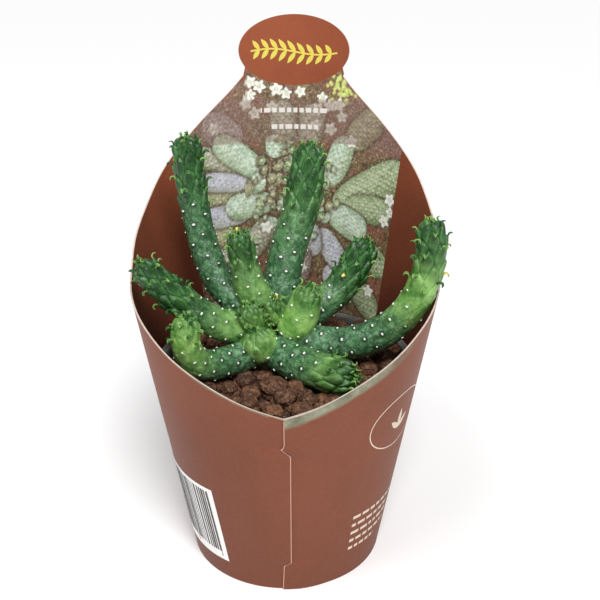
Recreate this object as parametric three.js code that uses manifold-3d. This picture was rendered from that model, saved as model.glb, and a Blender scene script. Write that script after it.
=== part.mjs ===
// Potted succulent spurge: a branching green plant in a small plastic nursery pot,
// stood in a tapered card sleeve whose back rises into a tall display panel.
// Millimetres, +Z up. The origin is the middle of the pot's underside, the sleeve's
// glued seam faces -Y and the display panel stands at +Y.

import * as THREE from 'three';
import { mergeVertices } from 'three/addons/utils/BufferGeometryUtils.js';
import Module from 'manifold-3d';

// ---------------------------------------------------------------- driving dimensions

// Card sleeve
const cardThickness = 0.5;
const sleeveBaseRadius = 30;      // outside, where it stands
const sleeveFlare = 0.175;        // radius gained for each millimetre of height
const sleeveAbovePot = 1.5;       // the rim's lowest point, at the seam, above the pot's rim
const panelRise = 75.5;           // from there up to the neck, where the panel meets its header
const panelTurn = 2.6;            // degrees that the panel stands off the seam's opposite side
const headerRise = 8;             // from the neck up to the middle of the header
const headerHalfWidth = 18.5;
const headerHalfHeight = 11;
const lapWidth = 9;               // glued lap at the seam
const tabWidth = 2;               // locking tab that crosses the seam line
const tabBottom = 10;
const tabBelowRim = 11.5;         // from the rim at the seam down to the tab's top

// Nursery pot
const potHeight = 63;
const potBaseRadius = 27.6;
const potWall = 0.8;
const potFloor = 1.2;
const potRimClearance = 0.4;      // between the pot's rim and the card
const potRimWidth = 1.5;
const potRimDepth = 4;
const drainHoles = 6;
const drainHoleRadius = 3;
const drainCircleRadius = 17;

// Substrate and the lava granules that lie on it
const soilDepthBelowRim = 3.5;
const soilCrown = 1.2;            // the middle stands this much higher than the edge
const granuleRadius = 2.5;

// Plant
const caudexX = -4;
const caudexY = 2;
const caudexRadius = 10;
const caudexHeight = 11;          // above the substrate
const taprootLength = 34;
const taprootRadius = 6;
const routeRadius = 40.6225;      // sleeve's radius at the substrate that the routes were set out in

// Space left between neighbouring pieces
const gap = 0.3;

// Facets
const cardColumns = 96;
const rimColumns = 150;
const potSides = 56;
const shootSides = 12;
const ringSpacing = 3.4;          // along a shoot
const frameSteps = 200;

// ---------------------------------------------------------------- derived places

const soilHeight = potHeight - soilDepthBelowRim;
const soilMiddleHeight = soilHeight + soilCrown;
const sleeveFrontHeight = potHeight + sleeveAbovePot;
const panelNeckHeight = sleeveFrontHeight + panelRise;
const headerCentreHeight = panelNeckHeight + headerRise;
const tabTop = sleeveFrontHeight - tabBelowRim;
const sleeveRadius = (z) => sleeveBaseRadius + sleeveFlare * z;
const routeSpread = sleeveRadius(soilMiddleHeight) / routeRadius;
const potRimRadius = sleeveRadius(potHeight - potRimDepth) - cardThickness - potRimClearance;
const potWallTopRadius = potRimRadius - potRimWidth;
const potWallRadius = (z) => potBaseRadius + (potWallTopRadius - potBaseRadius) * z / potHeight;
const degrees = Math.PI / 180;
const seamAngle = -90 * degrees;

// ---------------------------------------------------------------- joining and cutting

const wasm = await Module();
wasm.setup();

function solidOf(geometry) {
  const bare = geometry.clone();
  bare.deleteAttribute('normal');
  bare.deleteAttribute('uv');
  const merged = mergeVertices(bare, 1e-4);
  return new wasm.Manifold(new wasm.Mesh({
    numProp: 3,
    vertProperties: new Float32Array(merged.attributes.position.array),
    triVerts: new Uint32Array(merged.index.array),
  }));
}

function geometryOf(solid) {
  const mesh = solid.getMesh();
  const geometry = new THREE.BufferGeometry();
  geometry.setAttribute('position', new THREE.BufferAttribute(new Float32Array(mesh.vertProperties), 3));
  geometry.setIndex(new THREE.BufferAttribute(new Uint32Array(mesh.triVerts), 1));
  geometry.computeVertexNormals();
  return geometry;
}

// A closed shape turned about the vertical axis from [radius, height] pairs.
function turned(profile, sides) {
  const points = profile.map(([radius, height]) => new THREE.Vector2(radius, height));
  return new THREE.LatheGeometry(points, sides).rotateX(90 * degrees);
}

function shapeFromRings(rings, firstCap, lastCap, closedLoop) {
  const sides = rings[0].length;
  const positions = rings.flat();
  const faces = [];
  const spans = closedLoop ? rings.length : rings.length - 1;
  for (let ring = 0; ring < spans; ring += 1) {
    const here = ring * sides;
    const next = ((ring + 1) % rings.length) * sides;
    for (let side = 0; side < sides; side += 1) {
      const along = (side + 1) % sides;
      faces.push(here + side, here + along, next + along);
      faces.push(here + side, next + along, next + side);
    }
  }
  if (!closedLoop) {
    const first = positions.push(firstCap) - 1;
    const last = positions.push(lastCap) - 1;
    const end = (rings.length - 1) * sides;
    for (let side = 0; side < sides; side += 1) {
      const along = (side + 1) % sides;
      faces.push(first, along, side);
      faces.push(last, end + side, end + along);
    }
  }
  const geometry = new THREE.BufferGeometry().setFromPoints(positions);
  geometry.setIndex(faces);
  return geometry;
}

// A curved slab between two cone-shaped faces, going round from one angle to another.
// bottom and top are heights at an angle; inner and outer are radii at a height.
function curvedSlab({ from, to, columns, bottom, top, inner, outer }) {
  const fullTurn = Math.abs(to - from - 2 * Math.PI) < 1e-9;
  const count = fullTurn ? columns : columns + 1;
  const rings = [];
  for (let column = 0; column < count; column += 1) {
    const angle = from + (to - from) * column / columns;
    const corner = (radius, z) => new THREE.Vector3(
      radius(z) * Math.cos(angle),
      radius(z) * Math.sin(angle),
      z,
    );
    const low = bottom(angle);
    const high = top(angle);
    rings.push([corner(inner, low), corner(inner, high), corner(outer, high), corner(outer, low)]);
  }
  const middle = (ring) => ring
    .reduce((sum, point) => sum.add(point), new THREE.Vector3())
    .divideScalar(ring.length);
  return shapeFromRings(rings, middle(rings[0]), middle(rings[rings.length - 1]), fullTurn);
}

// ---------------------------------------------------------------- card sleeve

// The rim rises from the seam to the neck: degrees round from the seam, and the share
// of the rise from the front of the rim to the panel's neck. The header is above it.
const rimRise = [
  [0, 0], [14, 0.045], [30, 0.11], [45, 0.17], [60, 0.235], [76, 0.29], [90, 0.345],
  [102, 0.44], [114, 0.535], [126, 0.65], [144, 0.81], [157.5, 0.94], [162.4, 1],
];
const rimCurve = new THREE.CubicInterpolant(
  rimRise.map(([angle]) => angle),
  rimRise.map(([, share]) => sleeveFrontHeight + share * (panelNeckHeight - sleeveFrontHeight)),
  1,
);

function rimHeight(angle) {
  const turn = THREE.MathUtils.euclideanModulo(angle - seamAngle + Math.PI, 2 * Math.PI) - Math.PI;
  const halfTurn = turn > 0 ? 180 - panelTurn : 180 + panelTurn;
  const fromSeam = Math.abs(turn) / degrees * 180 / halfTurn;
  const lastAngle = rimRise[rimRise.length - 1][0];
  return fromSeam >= lastAngle ? headerCentreHeight : rimCurve.evaluate(fromSeam)[0];
}

function cardSleeve() {
  const aboveAll = headerCentreHeight + 3 * headerHalfHeight;
  const inside = (z) => sleeveRadius(z) - cardThickness;
  const lapOutside = (z) => sleeveRadius(z) + cardThickness;
  const lapInside = (z) => sleeveRadius(z) - cardThickness / 2;
  const level = (z) => () => z;
  const wall = solidOf(curvedSlab({
    from: seamAngle, to: seamAngle + 2 * Math.PI, columns: cardColumns,
    bottom: level(0), top: level(aboveAll), inner: inside, outer: sleeveRadius,
  }));
  const lap = solidOf(curvedSlab({
    from: seamAngle - lapWidth / sleeveBaseRadius, to: seamAngle, columns: 6,
    bottom: level(0), top: level(aboveAll), inner: lapInside, outer: lapOutside,
  }));
  const tab = solidOf(curvedSlab({
    from: seamAngle - 0.02, to: seamAngle + tabWidth / sleeveRadius(tabTop), columns: 2,
    bottom: level(tabBottom), top: level(tabTop), inner: lapInside, outer: lapOutside,
  }));
  const aboveRim = solidOf(curvedSlab({
    from: seamAngle, to: seamAngle + 2 * Math.PI, columns: rimColumns,
    bottom: rimHeight, top: level(aboveAll + headerHalfHeight),
    inner: (z) => sleeveRadius(z) - 3 * cardThickness,
    outer: (z) => sleeveRadius(z) + 3 * cardThickness,
  }));
  const oval = new THREE.Shape()
    .absellipse(0, 0, headerHalfWidth, headerHalfHeight, 0, 2 * Math.PI, false, 0);
  const ovalCutter = new THREE.ExtrudeGeometry(oval, {
    depth: 3 * sleeveBaseRadius, bevelEnabled: false, curveSegments: 20,
  });
  ovalCutter.rotateX(90 * degrees);
  ovalCutter.translate(0, 3 * sleeveBaseRadius, headerCentreHeight);
  ovalCutter.rotateZ(-panelTurn * degrees);
  const header = wall.intersect(solidOf(ovalCutter));
  return geometryOf(wall.add(lap).add(tab).subtract(aboveRim).add(header));
}

// ---------------------------------------------------------------- nursery pot

function nurseryPot() {
  const rimBottom = potHeight - potRimDepth;
  const body = solidOf(turned([
    [0, 0],
    [potBaseRadius, 0],
    [potWallRadius(rimBottom), rimBottom],
    [potRimRadius, rimBottom],
    [potRimRadius, potHeight],
    [potWallTopRadius - potWall, potHeight],
    [potWallRadius(potFloor) - potWall, potFloor],
    [0, potFloor],
  ], potSides));
  let pot = body;
  for (let hole = 0; hole < drainHoles; hole += 1) {
    const angle = hole * 2 * Math.PI / drainHoles;
    const drill = new THREE.CylinderGeometry(drainHoleRadius, drainHoleRadius, 4 * potFloor, 16);
    drill.rotateX(90 * degrees);
    drill.translate(drainCircleRadius * Math.cos(angle), drainCircleRadius * Math.sin(angle), potFloor / 2);
    pot = pot.subtract(solidOf(drill));
  }
  return geometryOf(pot);
}

// ---------------------------------------------------------------- caudex and taproot

// The thick stem that carries every shoot; room is added all round for its socket.
function caudexShape(room) {
  const height = caudexHeight;
  return turned([
    [0, -taprootLength - room],
    [1.5 + room, -taprootLength * 0.9],
    [taprootRadius * 0.8 + room, -taprootLength * 0.45],
    [taprootRadius + room, -taprootLength * 0.18],
    [caudexRadius * 0.84 + room, 0],
    [caudexRadius + room, height * 0.34],
    [caudexRadius * 0.94 + room, height * 0.6],
    [caudexRadius * 0.62 + room, height * 0.88],
    [0, height + room],
  ], 24).translate(caudexX, caudexY, soilMiddleHeight);
}

// ---------------------------------------------------------------- substrate

// The top swells from the pot's wall to the middle; share is the way out to the wall.
function soilTopAt(share) {
  return soilMiddleHeight - soilCrown * share ** 2;
}

function substrate() {
  const edge = (z) => potWallRadius(z) - potWall - gap;
  const floor = potFloor + gap;
  const topRing = (share) => [edge(soilHeight) * share, soilTopAt(share)];
  const body = solidOf(turned([
    [0, floor], [edge(floor), floor], topRing(1), topRing(0.8), topRing(0.5), topRing(0),
  ], potSides - 8));
  return geometryOf(body.subtract(solidOf(caudexShape(gap))));
}

// ---------------------------------------------------------------- shoots

// Each shoot is a rounded green arm. Its route is given from the caudex's middle where
// it leaves the substrate, and its outer part spreads as wide as the sleeve lets it. Its
// radii are at the base, half way along and at the tip.
const shoots = [
  { name: 'arm_right_long', radii: [5.2, 5.4, 4.7],
    route: [[3, -2, 6.5], [10, -4, 8.5], [22, -8, 9.6], [33, -11, 15], [41, -13, 25], [44.8, -14, 38],
      [44.6, -13, 51]] },
  { name: 'arm_back_left', radii: [5.1, 5, 4.5],
    route: [[-3, 1, 8], [-10.5, 3, 18], [-16.5, 6, 24.5], [-21.2, 10, 35.5], [-24.2, 12, 52.5],
      [-25, 11, 69]] },
  { name: 'arm_back_centre', radii: [5.4, 6.1, 4.7],
    route: [[1, 3, 9], [2.6, 6, 22], [4.6, 10, 32.5], [8.6, 14, 44.5], [11, 18, 57.5], [12, 19, 65]] },
  { name: 'arm_left', radii: [5.1, 5.3, 4.4],
    route: [[-3, -1, 6.5], [-8, -4, 11.5], [-16.5, -7, 16], [-26, -11, 24.5], [-38, -14, 38]] },
  { name: 'arm_front_left', radii: [4.5, 4.8, 4.3],
    route: [[-2, -3, 6], [-5, -8, 7.2], [-13.5, -14, 6.4], [-20.5, -19, 8.2], [-23.6, -22, 15.5],
      [-22.6, -23, 26]] },
  { name: 'arm_front_right', radii: [5.4, 5.8, 5.2],
    route: [[1, -3, 6], [3, -9, 6.5], [8.4, -14, 5.8], [17, -20, 5.6], [25.5, -24.5, 6]] },
  { name: 'arm_back_right', radii: [5.4, 5.7, 4.6],
    route: [[4, 1, 8], [12.5, 4, 15.5], [19.5, 7, 20], [24.2, 9, 26], [30, 12, 36.5]] },
  { name: 'arm_centre_short', radii: [5.6, 6, 3.9],
    route: [[-2, 0, 9], [-3.4, 1, 17.5], [-6.6, 0, 25], [-8.8, -1, 36.3], [-9.6, -2, 44]] },
  { name: 'bud_right', radii: [5.4, 6.3, 4.7],
    route: [[4, -2, 9], [8, -4.5, 15.5], [12, -4, 28]] },
  { name: 'bud_front', radii: [4.4, 5.4, 4],
    route: [[-1, -5, 7.5], [-3, -9, 10], [-5, -11, 17.5]] },
  { name: 'bud_centre', radii: [3, 3.8, 3.2],
    route: [[-4, -6, 13], [-6.4, -8, 19], [-7, -9, 24]] },
  { name: 'bud_crown', radii: [3, 3.4, 2.8],
    route: [[1, -2, 13], [1, -3.5, 19], [1, -4.5, 24]] },
];

// A shoot's outline: its radii run smoothly from base to tip, and both ends are domed.
function shootShape({ route, radii }, room) {
  const curve = new THREE.CatmullRomCurve3(
    route.map(([x, y, z]) => {
      const outer = Math.min(1, Math.hypot(x, y) / routeRadius);
      const spread = 1 + (routeSpread - 1) * outer;
      return new THREE.Vector3(x * spread + caudexX, y * spread + caudexY, z + soilMiddleHeight);
    }),
    false, 'centripetal',
  );
  const length = curve.getLength();
  const frames = curve.computeFrenetFrames(frameSteps, false);
  const [atBase, atMiddle, atTip] = radii;
  const straight = length - atBase - atTip;
  const steps = Math.max(2, Math.round(straight / ringSpacing));
  const along = [0.25, 0.65].map((share) => share * atBase);
  for (let step = 0; step <= steps; step += 1) along.push(atBase + straight * step / steps);
  along.push(...[0.6, 0.25, 0.06].map((share) => length - share * atTip));
  const rings = along.map((distance) => {
    const share = distance / length;
    const frame = Math.round(share * frameSteps);
    const bulge = 4 * share * (1 - share);
    const width = atBase + (atTip - atBase) * share + (atMiddle - (atBase + atTip) / 2) * bulge;
    const toTip = Math.min(1, (length - distance) / atTip);
    const toBase = Math.min(1, distance / atBase);
    const dome = Math.sqrt(1 - (1 - toTip) ** 2) * Math.sqrt(1 - (1 - toBase) ** 2);
    const radius = width * dome + room;
    return Array.from({ length: shootSides }, (_, side) => {
      const angle = side * 2 * Math.PI / shootSides;
      return curve.getPointAt(share)
        .addScaledVector(frames.normals[frame], radius * Math.cos(angle))
        .addScaledVector(frames.binormals[frame], radius * Math.sin(angle));
    });
  });
  const baseEnd = curve.getPointAt(0).addScaledVector(frames.tangents[0], -room);
  const tipEnd = curve.getPointAt(1).addScaledVector(frames.tangents[frameSteps], room);
  return shapeFromRings(rings, baseEnd, tipEnd, false);
}

// The card below the rim with the gap all round it, which the shoots lean against.
function cardWithRoom() {
  return solidOf(curvedSlab({
    from: seamAngle, to: seamAngle + 2 * Math.PI, columns: rimColumns,
    bottom: () => 0, top: (angle) => rimHeight(angle) + gap,
    inner: (z) => sleeveRadius(z) - cardThickness - gap, outer: (z) => sleeveRadius(z) + gap,
  }));
}

// A piece that is cut by its neighbours is the largest body that they leave.
function largestBody(solid) {
  return solid.decompose()
    .reduce((largest, body) => (body.volume() > largest.volume() ? body : largest));
}

// Where shoots crowd together, each is cut back to leave the gap to the ones before it.
const grownShoots = [];
let taken = solidOf(caudexShape(gap));
const card = cardWithRoom();
for (const shoot of shoots) {
  const solid = largestBody(solidOf(shootShape(shoot, 0)).subtract(taken).subtract(card));
  taken = taken.add(solidOf(shootShape(shoot, gap)));
  grownShoots.push([shoot.name, geometryOf(solid)]);
}

// ---------------------------------------------------------------- lava granules

// Rows of granules on the open parts of the substrate: how far the row lies in from the
// pot's wall, in granule radii; the direction of its middle; the pitch, in granule
// diameters; and the number of granules.
const granuleRows = [
  { inset: 1.46, middle: -95, pitch: 1.26, count: 7 },
  { inset: 4.1, middle: -94, pitch: 1.1, count: 3 },
  { inset: 1.46, middle: 26, pitch: 1.38, count: 4 },
  { inset: 4.1, middle: 26, pitch: 1.29, count: 3 },
  { inset: 1.46, middle: 156, pitch: 1.22, count: 4 },
];

// A lumpy stone: a ball whose surface swells and dips in a few broad waves.
function granule(order) {
  const stone = new THREE.IcosahedronGeometry(granuleRadius, 1);
  const place = stone.attributes.position;
  for (let corner = 0; corner < place.count; corner += 1) {
    const point = new THREE.Vector3().fromBufferAttribute(place, corner);
    const wave = Math.sin(1.3 * point.x + 2.1 * order) * Math.cos(1.1 * point.y - 1.7 * order)
      + 0.7 * Math.sin(1.5 * point.z + order);
    point.multiplyScalar(1 + 0.07 * wave);
    point.z *= 0.86;
    place.setXYZ(corner, point.x, point.y, point.z);
  }
  return mergeVertices(stone.deleteAttribute('normal').deleteAttribute('uv'), 1e-4);
}

// ---------------------------------------------------------------- assembly

const finishes = {
  card: { color: 0x8c5846, roughness: 0.5, metalness: 0 },
  plastic: { color: 0x2c2b2a, roughness: 0.45, metalness: 0 },
  soil: { color: 0x3d2a22, roughness: 0.95, metalness: 0 },
  stem: { color: 0x5d7a45, roughness: 0.7, metalness: 0 },
  green: { color: 0x3f7d45, roughness: 0.55, metalness: 0 },
  paleGreen: { color: 0x7fae4f, roughness: 0.55, metalness: 0 },
  lava: { color: 0x6e4b3c, roughness: 0.95, metalness: 0 },
};

const group = new THREE.Group();

function place(name, geometry, finish) {
  geometry.computeVertexNormals();
  const mesh = new THREE.Mesh(geometry, new THREE.MeshStandardMaterial(finishes[finish]));
  mesh.name = name;
  group.add(mesh);
  return mesh;
}

place('card_sleeve', cardSleeve(), 'card');
place('nursery_pot', nurseryPot(), 'plastic');
place('substrate', substrate(), 'soil');
place('caudex', caudexShape(0), 'stem');
for (const [name, geometry] of grownShoots) {
  place(name, geometry, name.startsWith('bud') ? 'paleGreen' : 'green');
}

let granuleNumber = 0;
const wallReach = potWallRadius(soilHeight) - potWall;
for (const { inset, middle, pitch, count } of granuleRows) {
  const reach = wallReach - inset * granuleRadius;
  const turnEach = pitch * 2 * granuleRadius / reach;
  for (let stone = 0; stone < count; stone += 1) {
    granuleNumber += 1;
    const angle = middle * degrees + (stone - (count - 1) / 2) * turnEach;
    const shape = granule(granuleNumber).rotateZ(granuleNumber * 40 * degrees);
    const x = reach * Math.cos(angle);
    const y = reach * Math.sin(angle);
    shape.translate(x, y, soilTopAt(reach / wallReach) + granuleRadius);
    const name = `lava_granule_${String(granuleNumber).padStart(2, '0')}`;
    place(name, geometryOf(largestBody(solidOf(shape).subtract(taken))), 'lava');
  }
}

export default group;
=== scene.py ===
"""A potted succulent spurge in a printed card sleeve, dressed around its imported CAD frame.

The file follows the order in which the thing is put together: the studio it stands in,
the card sleeve and its print, the nursery pot, the soil and lava stones, and the plant.
Lengths are written in millimetres and turned into metres by MM.
"""
import math
import random

import bpy
import numpy as np
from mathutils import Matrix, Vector, noise


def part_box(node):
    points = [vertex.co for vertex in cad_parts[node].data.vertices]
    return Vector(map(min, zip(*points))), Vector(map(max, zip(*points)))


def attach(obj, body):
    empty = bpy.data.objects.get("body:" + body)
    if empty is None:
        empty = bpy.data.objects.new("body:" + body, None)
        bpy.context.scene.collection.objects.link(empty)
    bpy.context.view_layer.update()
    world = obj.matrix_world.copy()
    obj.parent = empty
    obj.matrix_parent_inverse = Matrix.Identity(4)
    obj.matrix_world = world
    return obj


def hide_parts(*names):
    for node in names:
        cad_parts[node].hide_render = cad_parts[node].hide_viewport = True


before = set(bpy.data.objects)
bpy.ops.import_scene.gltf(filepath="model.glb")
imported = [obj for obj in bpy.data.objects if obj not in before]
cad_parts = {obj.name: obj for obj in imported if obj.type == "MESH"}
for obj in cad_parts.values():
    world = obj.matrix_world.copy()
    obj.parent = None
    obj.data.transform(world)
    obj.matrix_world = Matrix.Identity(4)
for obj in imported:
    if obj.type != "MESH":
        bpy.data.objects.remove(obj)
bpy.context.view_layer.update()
MM = 0.001


# ------------------------------------------------------------------ studio
# A wide pale floor under a white surround and a broad sun from the front right, with one
# weak lamp for highlights, seen from a little above the rim.

def tint(red, green, blue):
    """A paint colour from 0 to 255 as the renderer's own linear colour."""
    def straighten(part):
        part /= 255
        return part / 12.92 if part <= 0.04045 else ((part + 0.055) / 1.055) ** 2.4
    return (straighten(red), straighten(green), straighten(blue), 1)


def add(tree, kind, *sockets, settings=None, **named):
    """Adds a shader node; sockets are its inputs in order, named ones go by their label."""
    made = tree.nodes.new(kind)
    for key, value in (settings or {}).items():
        setattr(made, key, value)
    pairs = list(zip(made.inputs, sockets))
    pairs += [(made.inputs[label.replace("_", " ")], value) for label, value in named.items()]
    for socket, value in pairs:
        if isinstance(value, bpy.types.NodeSocket):
            tree.links.new(value, socket)
        elif value is not None:
            socket.default_value = value
    return made


def finish(name, colour, roughness):
    """A new material with a plain colour and roughness, its node tree and its shader."""
    material = bpy.data.materials.new(name)
    material.use_nodes = True
    tree = material.node_tree
    shader = tree.nodes["Principled BSDF"]
    shader.inputs["Base Color"].default_value = colour
    shader.inputs["Roughness"].default_value = roughness
    return material, tree, shader


def soft_lamp(name, place, aim, size, watts):
    """A round area lamp that faces its aim."""
    lamp = bpy.data.lights.new(name, "AREA")
    lamp.shape = "DISK"
    lamp.size = size
    lamp.energy = watts
    holder = bpy.data.objects.new(name, lamp)
    holder.location = place
    holder.rotation_euler = (Vector(aim) - Vector(place)).to_track_quat("-Z", "Y").to_euler()
    bpy.context.scene.collection.objects.link(holder)


def studio():
    """The floor, the lamp, the sun and the white surround."""
    floor_half = 6.0
    corners = [(-floor_half, -floor_half, 0), (floor_half, -floor_half, 0),
               (floor_half, floor_half, 0), (-floor_half, floor_half, 0)]
    mesh = bpy.data.meshes.new("floor")
    mesh.from_pydata(corners, [], [(0, 1, 2, 3)])
    floor = bpy.data.objects.new("floor", mesh)
    bpy.context.scene.collection.objects.link(floor)
    paper, _, shader = finish("floor_paper", tint(250, 250, 250), 0.9)
    shader.inputs["Specular IOR Level"].default_value = 0.1
    mesh.materials.append(paper)

    middle = (0, 0, 80 * MM)
    soft_lamp("lamp_above", (-0.25, -0.3, 0.9), middle, 0.3, 1.6)
    sun = bpy.data.lights.new("sun", "SUN")
    sun.energy = 2.75
    sun.angle = math.radians(26)
    holder = bpy.data.objects.new("sun", sun)
    holder.rotation_euler = Vector((-0.16, 0.7, -0.95)).to_track_quat("-Z", "Y").to_euler()
    bpy.context.scene.collection.objects.link(holder)

    world = bpy.data.worlds.new("surround")
    world.use_nodes = True
    world.node_tree.nodes["Background"].inputs["Color"].default_value = (1, 1, 1, 1)
    world.node_tree.nodes["Background"].inputs["Strength"].default_value = 0.34
    bpy.context.scene.world = world
    bpy.context.scene.view_settings.view_transform = "Standard"


def camera():
    """Stands in front of the seam and looks down a little at the middle of the sleeve."""
    aim = Vector((4.4, 0, 81.8)) * MM
    height_angle = math.radians(22.1)
    away = 268.9 * MM
    eye = bpy.data.cameras.new("camera")
    eye.lens = 54
    eye.sensor_width = 36
    eye.clip_start = 0.01
    holder = bpy.data.objects.new("camera", eye)
    holder.location = aim + away * Vector((0, -math.cos(height_angle), math.sin(height_angle)))
    holder.rotation_euler = (aim - holder.location).to_track_quat("-Z", "Y").to_euler()
    bpy.context.scene.collection.objects.link(holder)
    bpy.context.scene.camera = holder


studio()
camera()


# ------------------------------------------------------------------ card sleeve
# One die-cut sheet of half-millimetre coated card, printed both sides, wrapped into a
# cone and locked at the front: a tab on the left edge sits over the right edge in the
# middle of the seam and tucks under it at both ends. The back rises to an oval header.

card_thickness = 0.5
sleeve_base_radius = 30
sleeve_flare = 0.175
front_height = 64.5
neck_height = 140
panel_turn = 2.6
header_height = 148
header_half_width = 18.5
header_half_height = 11
neck_half_width = 17.0
neck_taper = 0.25
seam_lean_reach = 14     # degrees from the seam over which the card's columns lean to follow it
lap_flat, lap_fade = 4, 10
level_rows_top = 60      # below this the card's rows are level; above it they follow the rim
# The rim's rise from the seam round to the neck, as (degrees, share of the whole rise).
rim_rise = ((0, 0), (14, 0.045), (30, 0.11), (45, 0.17), (60, 0.235), (76, 0.29), (90, 0.345),
            (102, 0.44), (114, 0.535), (126, 0.65), (144, 0.81), (157.5, 0.94), (162.4, 1))
# The cut edge that shows at the seam, and which side lies on top there, by height.
seam_line = ((0, -0.75), (9.5, -0.4), (11.2, 1.95), (51.7, 1.95), (54.3, -0.75), (54.8, 0), (200, 0))
tab_over = ((0, 0), (9.5, 0), (11.2, 1), (51.7, 1), (54.3, 0), (200, 0))


def table(pairs, at):
    """Reads a list of (place, value) pairs at a place, going straight between them."""
    places, values = zip(*pairs)
    return np.interp(at, places, values)


def smooth_table(pairs, at):
    """The same list read along one smooth curve that never overshoots its points."""
    x, y = (np.array(side, float) for side in zip(*pairs))
    rise = np.diff(y) / np.diff(x)
    slope = np.r_[rise[0], 2 * rise[1:] * rise[:-1] / (rise[1:] + rise[:-1]), rise[-1]]
    at = np.clip(at, x[0], x[-1])
    span = np.clip(np.searchsorted(x, at, side="right") - 1, 0, len(x) - 2)
    width = x[span + 1] - x[span]
    part = (at - x[span]) / width
    return ((1 + 2 * part) * (1 - part) ** 2 * y[span] + part * (1 - part) ** 2 * width * slope[span]
            + part ** 2 * (3 - 2 * part) * y[span + 1] + part ** 2 * (part - 1) * width * slope[span + 1])


def sleeve_radius(height):
    """How far the card's outside stands from its middle line at a height."""
    return sleeve_base_radius + sleeve_flare * np.asarray(height, float)


def on_sleeve(turn, height, lift=0.0):
    """A place on the card's outside, turn degrees round from the front seam to the right."""
    angle = np.radians(np.asarray(turn, float) - 90)
    radius = sleeve_radius(height) + lift
    level = np.broadcast_to(height, radius.shape)
    return np.stack([radius * np.cos(angle), radius * np.sin(angle), level], -1)


def rim_at(turn):
    """The height of the cut rim below the header, turn degrees round from the seam."""
    signed = (np.asarray(turn, float) + 180) % 360 - 180
    half_turn = np.where(signed > 0, 180 - panel_turn, 180 + panel_turn)
    risen = smooth_table(rim_rise, np.abs(signed) / half_turn * 180)
    return front_height + risen * (neck_height - front_height)


def mesh_piece(name, points, faces, materials, smooth=True, face_materials=None):
    """A new object from millimetre points, riding on the root body."""
    mesh = bpy.data.meshes.new(name)
    mesh.from_pydata((np.asarray(points, float) * MM).tolist(), [], [tuple(face) for face in faces])
    for material in materials:
        mesh.materials.append(material)
    if face_materials is not None:
        mesh.polygons.foreach_set("material_index", np.asarray(face_materials, np.int32))
    mesh.polygons.foreach_set("use_smooth", [smooth] * len(mesh.polygons))
    mesh.update()
    piece = bpy.data.objects.new(name, mesh)
    bpy.context.scene.collection.objects.link(piece)
    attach(piece, "root")
    return piece


def note(piece, name, values):
    """Writes one number for each point of a piece, for its material to read."""
    held = piece.data.attributes.new(name, "FLOAT", "POINT")
    held.data.foreach_set("value", np.asarray(values, np.float32).ravel())


def grid_faces(rows, columns, start=0, flip=False):
    """Four-cornered faces over a grid of points that is stored row by row."""
    row, column = np.mgrid[0:rows - 1, 0:columns - 1]
    corner = (row * columns + column).ravel() + start
    quads = np.stack([corner, corner + 1, corner + columns + 1, corner + columns], 1)
    return quads[:, ::-1] if flip else quads


def header_half(height):
    """Half the header's width at a height: an ellipse, standing on a short straight neck."""
    reach = np.clip((np.asarray(height, float) - header_height) / header_half_height, -1, 1)
    ellipse = header_half_width * np.sqrt(1 - reach ** 2)
    neck = neck_half_width - neck_taper * (np.asarray(height, float) - neck_height)
    return np.where(height < header_height, np.maximum(ellipse, neck), ellipse)


def sheet_columns():
    """How far round each column of the card's grid stands, closer together at the header."""
    half_left, half_right = 180 + panel_turn, 180 - panel_turn
    neck = rim_rise[-1][0] / 180
    front_right = np.linspace(0, half_right * neck, 131)
    back = np.linspace(half_right * neck, 360 - half_left * neck, 37)[1:-1]
    front_left = np.linspace(360 - half_left * neck, 360, 131)
    return front_right, back, front_left


def sheet_grid():
    """Turn, height and lap lift of every point of the outside of the card, row by row."""
    front_right, back, front_left = sheet_columns()
    turn = np.r_[front_right, back, front_left]
    low_rows = np.unique(np.r_[np.linspace(0, level_rows_top, 31), 9.5, 10.3, 11.2, 51.7, 53, 54.3, 54.8])
    in_header = (turn >= front_right[-1] - 1e-6) & (turn <= front_left[0] + 1e-6)
    top = np.where(in_header, neck_height, rim_at(turn))
    shares = np.linspace(0, 1, 37)[1:]
    high_rows = level_rows_top + shares[:, None] * (top - level_rows_top)
    heights = np.vstack([np.tile(low_rows[:, None], (1, len(turn))), high_rows])
    turns = np.tile(turn, (len(heights), 1))
    from_right = np.minimum(turns, 360 - turns)
    lean = np.clip(1 - from_right / seam_lean_reach, 0, 1)
    radius = sleeve_radius(heights)
    turns = turns + np.degrees(table(seam_line, heights) / radius) * lean
    arc = np.radians(from_right) * radius
    past_lap = np.clip((arc - lap_flat) / lap_fade, 0, 1)
    fade = 1 - past_lap ** 2 * (3 - 2 * past_lap)
    over = np.where(turns < 180, 1 - table(tab_over, heights), table(tab_over, heights))
    return turns, heights, card_thickness * over * fade, len(front_right) - 1, len(front_right) + len(back)


def header_grid(columns):
    """The header above the neck: rows of points that narrow and widen with its outline."""
    steps = np.r_[np.linspace(0, 0.62, 14), 0.62 + 0.38 * np.sin(np.linspace(0, np.pi / 2, 22)[1:])]
    heights = neck_height + steps * (header_height + header_half_height - 0.002 - neck_height)
    rows = []
    for height in heights:
        half = np.degrees(header_half(height) / sleeve_radius(height))
        rows.append(180 - panel_turn + np.linspace(-half, half, columns))
    return np.array(rows), np.tile(heights[:, None], (1, columns))


def object_place(tree):
    """Where a point lies on the object, in metres."""
    return add(tree, "ShaderNodeTexCoord").outputs["Object"]


def cloudy(tree, place, scale, detail, **more):
    """Soft noise between nothing and one; the larger the scale, the finer it is."""
    return add(tree, "ShaderNodeTexNoise", place, Scale=scale, Detail=detail, **more).outputs["Fac"]


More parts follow.
